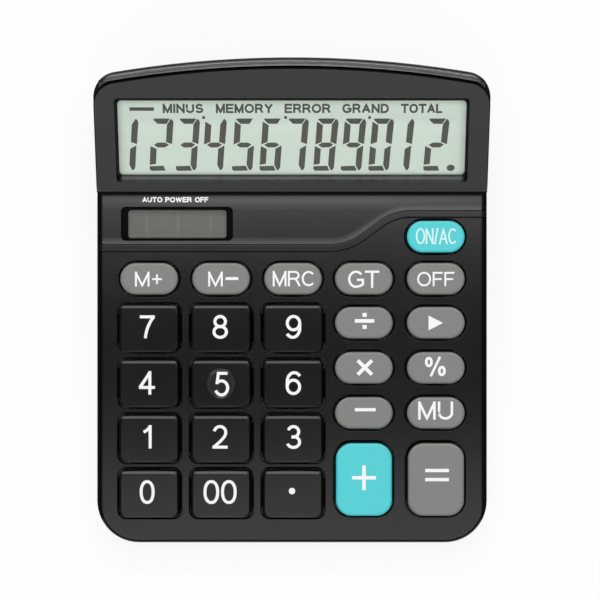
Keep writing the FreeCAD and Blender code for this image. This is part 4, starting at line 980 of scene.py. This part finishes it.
@dataclass
class Print:
    """Marks printed on a surface: thin closed shapes that follow it."""

    name: str
    ground: Ground
    thickness: float = 0.03
    sunk: float = 0.02
    layer: float = 0.002
    layers: int = 6
    step: float = 0.6
    corners: list[Vector] = field(default_factory=list)
    faces: list[tuple[int, ...]] = field(default_factory=list)
    strips: int = 0

    def _ring(self, outline: Sequence[Point], lift: float) -> list[int]:
        """Adds an outline's points at one height and returns their numbers."""
        first = len(self.corners)
        self.corners.extend(self.ground.drop(x, y, lift) for x, y in outline)
        return list(range(first, first + len(outline)))

    def strip(self, shape: Ribbon) -> None:
        """Adds a ribbon, each a hair higher than the last.

        Args:
            shape: The ribbon's two edges.
        """
        self.strips += 1
        lift = self.thickness + self.layer * (self.strips % self.layers)
        edges = [(shape.left, lift), (shape.right, lift)]
        edges += [(shape.right, -self.sunk), (shape.left, -self.sunk)]
        rows = [self._ring(path, height) for path, height in edges]
        count = len(shape.left)
        for number in range(count if shape.closed else count - 1):
            following = (number + 1) % count
            for row, other in zip(rows, rows[1:] + rows[:1]):
                self.faces.append((row[number], other[number], other[following], row[following]))
        if not shape.closed:
            self.faces.append(tuple(row[0] for row in reversed(rows)))
            self.faces.append(tuple(row[-1] for row in rows))

    def stroke(self, path: Sequence[Point], weight: float, end: End = End.SQUARE) -> None:
        """Adds a stroke along its middle line, in millimetres."""
        self.strip(ribbon(fine(path, self.step, end is End.LOOP), weight, end))

    def patch(self, outline: Sequence[Point]) -> None:
        """Adds a filled shape.

        Args:
            outline: Its outline, anticlockwise.
        """
        top = self._ring(outline, self.thickness)
        low = self._ring(outline, -self.sunk)
        self.faces.append(tuple(top))
        self.faces.append(tuple(reversed(low)))
        for number, corner in enumerate(top):
            following = (number + 1) % len(top)
            self.faces.append((low[number], low[following], top[following], corner))

    def word(self, text: str, place: Point, size: Point, weight: float, gap: float = 0.3) -> None:
        """Adds a word that fills a box.

        Args:
            text: The word.
            place: The box's middle.
            size: The box's width and height, outside the strokes.
            weight: The strokes' width.
            gap: The space between letters, as a share of the height.
        """
        height = size[1] - weight
        natural = sum(LETTERS[sign].width for sign in text) + gap * (len(text) - 1)
        stretch = (size[0] - weight) / natural
        x = place[0] - (size[0] - weight) / 2
        y = place[1] - height / 2
        for sign in text:
            shape = LETTERS[sign]
            for stroke in shape.strokes:
                path = [(x + px * stretch, y + py * height) for px, py in stroke.path]
                self.stroke(path, weight, stroke.end)
            x += (shape.width + gap) * stretch

    def build(self, body: str, finish: Finish, shop: PaintShop) -> None:
        """Makes the piece, paints it and lets it ride on a body.

        Args:
            body: The body's name.
            finish: The paint.
            shop: Where the paint is made.
        """
        mesh = bpy.data.meshes.new(self.name)
        mesh.from_pydata(self.corners, [], self.faces)
        mesh.validate()
        piece = add(self.name, mesh)
        shop.paint(piece, finish)
        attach(piece, body)


# ---- sub-assemblies


@dataclass(frozen=True)
class Legend:
    """A word on a key: where it stands from the key's middle, its size and its weight."""

    text: str
    across: float
    up: float
    width: float
    height: float
    weight: float = 0.9
    gap: float = 0.3

    def draw(self, sheet: Print, u: float, v: float) -> None:
        """Prints the word on the key whose middle is given."""
        place = (u + self.across, v + self.up)
        sheet.word(self.text, place, (self.width, self.height), self.weight, self.gap)


@dataclass(frozen=True)
class Bar:
    """A line on a key, given from the key's middle."""

    path: Path
    weight: float
    end: End = End.SQUARE

    def draw(self, sheet: Print, u: float, v: float) -> None:
        """Prints the line on the key whose middle is given."""
        sheet.stroke([(u + x, v + y) for x, y in self.path], self.weight, self.end)


@dataclass(frozen=True)
class Patch:
    """A filled shape on a key, given from the key's middle."""

    outline: Path

    def draw(self, sheet: Print, u: float, v: float) -> None:
        """Prints the shape on the key whose middle is given."""
        sheet.patch([(u + x, v + y) for x, y in self.outline])


Mark = Union[Legend, Bar, Patch]


def level(left: float, right: float, up: float, weight: float) -> Bar:
    """Returns a level line on a key."""
    return Bar([(left, up), (right, up)], weight)


def oval(across: float, up: float) -> Bar:
    """Returns one ring of the percent sign."""
    return Bar(arc(across, up, 0.78, 1.15, 0, 360, 2.2)[:-1], 0.82, End.LOOP)


@dataclass
class Keypad:
    """The keys' caps and their printed legends."""

    shop: PaintShop
    pitch: float = 21.7
    left_block_shift: float = 0.3
    digit_row: float = 15.06
    digit_pitch: float = 16.65
    oval_row: float = 39.47
    oval_pitch: float = 13.6
    memory_row: float = 79.95
    on_row: float = 92.65
    tall_row: float = 19.4

    def column(self, name: str) -> float:
        """Returns the place across of a column named A to E."""
        shift = self.left_block_shift if name in "ABC" else 0.0
        return ("ABCDE".index(name) - 2) * self.pitch + shift

    def dress(self) -> None:
        """Puts its finish on every key cap."""
        for name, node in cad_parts.items():
            if not name.startswith("key_"):
                continue
            digit = name[4:].isdigit() or name == "key_point"
            teal = name in ("key_on_ac", "key_plus")
            self.shop.paint(node, KEY_BLACK if digit else KEY_TEAL if teal else KEY_GREY)

    def label(self, key: str, column: str, row: float, *marks: Mark) -> None:
        """Prints the marks of one key.

        Args:
            key: The key's name without its prefix.
            column: Its column's letter.
            row: The place of its middle up the deck.
            marks: The marks.
        """
        sheet = Print(f"legend_{key}", Ground(f"key_{key}", DECK))
        for mark in marks:
            mark.draw(sheet, self.column(column), row)
        sheet.build(f"cap_{key}", LEGEND_PALE if key == "on_ac" else LEGEND_WHITE, self.shop)

    def digits(self) -> None:
        """Prints the number keys."""
        marks = (
            ("0", "A", 0, Legend("0", -0.57, 0.57, 4.5, 7.15)),
            ("00", "B", 0, Legend("00", -0.27, 0.57, 10.0, 7.2, gap=0.24)),
            ("1", "A", 1, Legend("1", -0.66, 0.58, 2.9, 7.05)),
            ("2", "B", 1, Legend("2", -0.34, 0.57, 4.7, 7.1)),
            ("3", "C", 1, Legend("3", 0.2, 0.52, 4.6, 7.2)),
            ("4", "A", 2, Legend("4", -0.71, 0.18, 4.95, 7.1)),
            ("5", "B", 2, Legend("5", 0.2, -0.2, 4.6, 7.4)),
            ("6", "C", 2, Legend("6", 0.14, 0.13, 4.65, 7.2)),
            ("7", "A", 3, Legend("7", -0.53, 0.45, 4.5, 6.93)),
            ("8", "B", 3, Legend("8", -0.25, 0.42, 4.65, 7.2)),
            ("9", "C", 3, Legend("9", 0.17, 0.43, 4.65, 7.2)),
            ("point", "C", 0, Patch(disc(-0.28, 0.86, 0.97))),
        )
        for key, column, row, mark in marks:
            self.label(key, column, self.digit_row + row * self.digit_pitch, mark)

    def memory_keys(self) -> None:
        """Prints the row of memory keys, the off key and the on key."""
        plus = (level(1.2, 3.6, -0.13, 0.56), Bar([(2.4, -1.3), (2.4, 1.05)], 0.56))
        minus = level(1.78, 4.8, 0.06, 0.86)
        marks = (
            ("m_plus", "A", Legend("M", -2.06, -0.1, 4.4, 4.5, 0.6), *plus),
            ("m_minus", "B", Legend("M", -1.67, -0.1, 4.4, 4.5, 0.6), minus),
            ("mrc", "C", Legend("MRC", 0.26, 0.05, 12.75, 4.62, 0.6, 0.24)),
            ("gt", "D", Legend("GT", -0.07, -0.15, 9.45, 5.25, 0.7, 0.2)),
            ("off", "E", Legend("OFF", -0.03, -0.1, 11.2, 4.35, 0.56, 0.26)),
        )
        for key, column, *legends in marks:
            self.label(key, column, self.memory_row, *legends)
        self.label("on_ac", "E", self.on_row, Legend("ON/AC", 0.14, 0.14, 12.35, 4.8, 0.5, 0.24))

    def operators(self) -> None:
        """Prints the operator keys."""
        low, middle, high = (self.oval_row + step * self.oval_pitch for step in range(3))
        falling, rising = [(-1.49, 1.88), (2.03, -1.64)], [(-1.49, -1.64), (2.03, 1.88)]
        slash = Bar([(-1.56, -2.54), (1.24, 3.36)], 0.75, End.CUT)
        dots = (level(0.15, 0.25, up, 1.18) for up in (2.38, -1.27))
        upright = Bar([(0.0, -2.64), (0.0, 3.76)], 1.06)
        marks = (
            ("minus", "D", low, level(-2.25, 3.05, 0.98, 0.98)),
            ("mu", "E", low, Legend("MU", -0.07, 0.73, 10.55, 5.5, 0.76, 0.26)),
            ("multiply", "D", middle, Bar(falling, 1.1), Bar(rising, 1.1)),
            ("percent", "E", middle, oval(-2.11, 1.76), oval(1.79, -0.94), slash),
            ("divide", "D", high, level(-2.2, 2.58, 0.57, 1.1), *dots),
            ("correct", "E", high, Patch([(-2.22, -2.28), (2.18, -0.04), (-2.22, 2.2)])),
            ("plus", "D", self.tall_row, level(-3.05, 3.07, 0.56, 1.06), upright),
            ("equals", "E", self.tall_row, *(level(-2.76, 3.4, up, 1.0) for up in (2.75, 0.02))),
        )
        for key, column, row, *shapes in marks:
            self.label(key, column, row, *shapes)

    def build(self) -> None:
        """Dresses the caps and prints every legend."""
        self.dress()
        self.digits()
        self.memory_keys()
        self.operators()


class Segment(Enum):
    """The seven strokes of one display digit."""

    TOP = "a"
    UPPER_RIGHT = "b"
    LOWER_RIGHT = "c"
    BOTTOM = "d"
    LOWER_LEFT = "e"
    UPPER_LEFT = "f"
    MIDDLE = "g"


SHAPES: dict[Segment, Path] = {
    Segment.TOP: [(4.45, 14.85), (5.35, 16.5), (0.62, 16.5), (0.3, 16.2), (1.75, 14.85)],
    Segment.UPPER_LEFT: [(1.93, 9.15), (1.9, 14.4), (0.0, 15.55), (0.05, 8.35)],
    Segment.UPPER_RIGHT: [
        (4.55, 9.15), (6.42, 8.45), (6.5, 15.3), (6.1, 16.1), (5.62, 16.4), (4.57, 14.6),
    ],
    Segment.MIDDLE: [(0.95, 8.2), (2.15, 7.4), (4.4, 7.45), (5.5, 8.3), (4.4, 8.95), (2.1, 8.95)],
    Segment.LOWER_LEFT: [(0.02, 1.9), (1.87, 2.2), (1.85, 6.95), (-0.05, 7.85)],
    Segment.LOWER_RIGHT: [
        (4.42, 2.0), (5.25, 0.35), (5.8, 0.15), (6.27, 1.1),
        (6.27, 7.7), (6.15, 8.0), (4.42, 6.95),
    ],
    Segment.BOTTOM: [(0.1, 0.5), (0.6, 0.0), (4.95, 0.05), (4.25, 1.6), (0.0, 1.45)],
}
# the strokes that each digit from 0 to 9 lights
LIT = "abcdef bc abged abgcd fgbc afgcd afgedc abc abcdefg abcdfg".split()


@dataclass
class Display:
    """The display: its layers, its twelve digits and the words over them."""

    shop: PaintShop
    shown: str = "123456789012"
    starts: tuple[float, ...] = (
        -53.8, -43.23, -35.28, -27.22, -18.32, -9.96, -2.56, 6.34, 14.66, 23.0, 29.12, 39.65,
    )
    low: float = 5.08
    slant: float = 0.0755
    words: tuple[tuple[str, float, float], ...] = (
        ("MINUS", -38.71, -26.56),
        ("MEMORY", -22.79, -5.68),
        ("ERROR", -2.2, 11.56),
        ("GRAND", 15.1, 29.06),
        ("TOTAL", 32.65, 45.02),
    )
    word_low: float = 23.28
    word_high: float = 26.17
    word_weight: float = 0.62
    word_gap: float = 0.36
    bar_low: Point = (-48.71, 24.0)
    bar_high: Point = (-41.34, 25.08)
    point: Point = (48.05, 6.03)
    point_radii: Point = (1.2, 1.0)
    commas: tuple[float, ...] = (-26.5, -1.9, 23.3)
    comma_row: float = 21.9
    comma_radius: float = 0.48

    def dress(self) -> None:
        """Puts their finishes on the display's layers and its surround."""
        self.shop.dress({
            "display_bezel": Surround("bezel_grey", (0.018, 0.018, 0.018), 0.28, 0.25),
            "display_window": Clear("clear_window", SMOKE, 0.04),
            "lcd_front_polariser": DisplayFilm(),
            "lcd_front_glass": GLASS,
            "lcd_rear_glass": GLASS,
            "lcd_reflector": Metal("reflector_foil", (0.62, 0.64, 0.60), 0.4),
            "lcd_holder": Plastic("inner_plastic", (0.62, 0.62, 0.60), 0.5),
            "lcd_ribbon": Plastic("ribbon_film", (0.45, 0.27, 0.08), 0.35, 0.4),
        })

    def digits(self, ground: Ground) -> None:
        """Draws the lit segments.

        Args:
            ground: The display's film.
        """
        sheet = Print("display_digits", ground)
        for start, digit in zip(self.starts, self.shown):
            for segment in Segment:
                if segment.value in LIT[int(digit)]:
                    shape = SHAPES[segment]
                    sheet.patch([(start + x + y * self.slant, self.low + y) for x, y in shape])
        sheet.build("case", SEGMENT_INK, self.shop)

    def signs(self, ground: Ground) -> None:
        """Draws the words, the bar before them, the point and the thousands' marks.

        Args:
            ground: The display's film.
        """
        sheet = Print("display_words", ground)
        middle = (self.word_low + self.word_high) / 2
        for text, left, right in self.words:
            size = (right - left, self.word_high - self.word_low)
            sheet.word(text, ((left + right) / 2, middle), size, self.word_weight, self.word_gap)
        (left, low), (right, high) = self.bar_low, self.bar_high
        sheet.patch([(left, low), (right, low), (right, high), (left, high)])
        sheet.patch(arc(*self.point, *self.point_radii, 0, 360)[:-1])
        for across in self.commas:
            sheet.patch(disc(across, self.comma_row, self.comma_radius))
        sheet.build("case", SEGMENT_INK, self.shop)

    def build(self) -> None:
        """Dresses the display and draws what it shows."""
        self.dress()
        ground = Ground("lcd_front_polariser", FACE)
        self.digits(ground)
        self.signs(ground)


@dataclass
class Housing:
    """The case, its door, its feet and what is printed on the plate."""

    shop: PaintShop
    caption: tuple[tuple[str, float, float], ...] = (
        ("AUTO", -45.3, -39.21),
        ("POWER", -38.34, -30.34),
        ("OFF", -29.36, -25.33),
    )
    caption_row: float = 103.88
    caption_height: float = 1.6
    caption_weight: float = 0.36
    caption_gap: float = 0.34

    def dress(self) -> None:
        """Puts their finishes on the outer pieces."""
        self.shop.dress({
            "upper_case": CaseTop("case_top_black", BLACK_PLASTIC, 0.16, 0.30),
            "lower_case": CASE_BLACK,
            "battery_door": CASE_BLACK,
            "rubber_feet": Plastic("foot_rubber", (0.02, 0.02, 0.02), 0.8, 0.2, 0.02, 0.4),
            "case_screws": SCREW_STEEL,
            "solar_lens": Clear("solar_window", SMOKE, 0.06),
            "solar_cell": SolarFace(),
        })

    def marks(self) -> None:
        """Prints the caption over the solar cell."""
        sheet = Print("case_caption", Ground("upper_case", DECK))
        for text, left, right in self.caption:
            place = ((left + right) / 2, self.caption_row)
            size = (right - left, self.caption_height)
            sheet.word(text, place, size, self.caption_weight, self.caption_gap)
        sheet.build("case", LEGEND_WHITE, self.shop)

    def build(self) -> None:
        """Dresses the case and prints its caption."""
        self.dress()
        self.marks()


@dataclass
class Inside:
    """What the case hides: board, mat, contacts, cell and wires."""

    shop: PaintShop

    def build(self) -> None:
        """Puts their finishes on the inner pieces."""
        self.shop.dress({
            "dome_mat": Plastic("silicone", (0.45, 0.47, 0.47), 0.55, 0.4),
            "contact_pills": Plastic("carbon_pills", (0.015, 0.015, 0.015), 0.7),
            "circuit_board": BoardLacquer(),
            "chip_blob": Plastic("black_resin", (0.008, 0.008, 0.008), 0.18, 0.5, 0.01, 3.0),
            "capacitor": Plastic("capacitor_can", (0.03, 0.04, 0.10), 0.3, 0.5),
            "battery_cell": CellJacket(),
            "battery_spring": PLATED,
            "negative_contact": PLATED,
            "positive_contact": PLATED,
            "battery_wire_red": WIRE_RED,
            "battery_wire_black": WIRE_BLACK,
            "solar_wire_red": WIRE_RED,
            "solar_wire_black": WIRE_BLACK,
            "board_screws": SCREW_STEEL,
            "holder_screws": SCREW_STEEL,
        })


# ---- studio


def stand(thing: bpy.types.Object, place: Vector, up: Vector, back: Vector) -> None:
    """Stands a thing square to the deck's width, with its own y up and its own z back."""
    turn = Matrix((ACROSS, up, back)).transposed().to_4x4()
    thing.matrix_world = Matrix.Translation(place) @ turn


@dataclass(frozen=True)
class Softbox:
    """A soft lamp that faces the key deck and spans two angles towards the rear.

    The angles are degrees away from the deck's normal, less than nothing towards the front.
    """

    name: str
    first: float
    last: float
    radiance: float
    width: float = 1.3
    distance: float = 1.3

    def build(self, target: Vector) -> None:
        """Hangs the lamp.

        Args:
            target: The point that it faces.
        """
        depth = 2 * self.distance * math.tan(math.radians(self.last - self.first) / 2)
        lamp = bpy.data.lights.new(self.name, "AREA")
        lamp.shape = "RECTANGLE"
        lamp.size, lamp.size_y = self.width, depth
        lamp.energy = self.radiance * math.pi * self.width * depth
        lean = math.radians(self.first + self.last) / 2
        away = math.sin(lean) * DECK.rise() + math.cos(lean) * DECK.normal()
        stand(add(self.name, lamp), target + away * self.distance, away.cross(ACROSS), away)


@dataclass
class Studio:
    """The floor, the world, the lamps and the camera."""

    floor_size: float = 3.0
    middle: Point = (2.42, 73.54)
    camera_distance: float = 0.630
    view_width: float = 0.1817
    sensor: float = 36.0
    world_level: float = 0.12
    glow_share: float = 0.86
    white: Colour = (1.0, 1.0, 1.0)
    floor_colour: Colour = (0.97, 0.97, 0.97)
    lamps: tuple[Softbox, ...] = (
        Softbox("front_lamp", -45.0, -6.6, 2.0),
        Softbox("rear_lamp", 3.4, 22.0, 3.7),
        Softbox("rim_lamp", 38.0, 47.0, 7.5),
    )

    def floor(self) -> None:
        """Lays the floor, which looks white and keeps the shadow."""
        half = self.floor_size / 2
        mesh = bpy.data.meshes.new("floor")
        corners = [(-half, -half, 0), (half, -half, 0), (half, half, 0), (-half, half, 0)]
        mesh.from_pydata(corners, [], [(0, 1, 2, 3)])
        piece = add("floor", mesh)
        graph, material = Graph.of_material("floor_white")
        soft = graph.noise(graph.place(), 0.4)
        paint = graph.principled(
            Base_Color=graph.mix(soft, shade(self.floor_colour, 0.99), self.floor_colour),
            Roughness=0.9,
            Specular_IOR_Level=0.1,
        )
        glow = graph.node("ShaderNodeEmission", inputs={"Color": self.white, "Strength": 1.0})
        share = self.seen(graph) * self.glow_share
        graph.finish(graph.node("ShaderNodeMixShader", inputs={0: share, 1: paint, 2: glow}))
        mesh.materials.append(material)

    @staticmethod
    def seen(graph: Graph) -> Value:
        """Finds the rays that see the floor.

        Args:
            graph: The floor's graph.

        Returns:
            1 for rays from the camera, from gloss and through clear pieces.
        """
        rays = graph.node("ShaderNodeLightPath", output="Is Camera Ray")
        outputs = rays.socket.node.outputs
        gloss = Value(graph, outputs["Is Glossy Ray"])
        through = Value(graph, outputs["Is Transmission Ray"])
        return graph.math("MINIMUM", rays + gloss + through, 1.0)

    def world(self) -> None:
        """Fills the room with even light, white where the camera looks past the floor."""
        world = bpy.data.worlds.new("studio")
        bpy.context.scene.world = world
        world.use_nodes = True
        graph = Graph(world.node_tree, "World")
        rays = graph.node("ShaderNodeLightPath", output="Is Camera Ray")
        strength = self.world_level + (1.0 - self.world_level) * rays
        inputs = {"Color": self.white, "Strength": strength}
        graph.finish(graph.node("ShaderNodeBackground", inputs=inputs))

    def camera(self) -> None:
        """Sets the camera square to the key deck."""
        lens = bpy.data.cameras.new("camera")
        lens.sensor_width = self.sensor
        lens.lens = self.sensor * self.camera_distance / self.view_width
        lens.clip_start, lens.clip_end = 0.01, 20.0
        thing = add("camera", lens)
        back = DECK.normal()
        place = DECK.point(*self.middle) + back * self.camera_distance
        stand(thing, place, DECK.rise(), back)
        bpy.context.scene.camera = thing

    def build(self) -> None:
        """Builds the whole studio."""
        bpy.context.scene.view_settings.view_transform = "Standard"
        self.camera()
        self.floor()
        self.world()
        for lamp in self.lamps:
            lamp.build(DECK.point(*self.middle))


def main() -> None:
    """Builds the calculator's looks in order and logs each part as it is done."""
    logging.basicConfig(level=logging.INFO, format="%(name)s: %(message)s")
    shop = PaintShop()
    Studio().build()
    for part in (Housing(shop), Display(shop), Keypad(shop), Inside(shop)):
        part.build()
        LOG.info("%s is done", type(part).__name__)


if __name__ == "__main__":
    main()
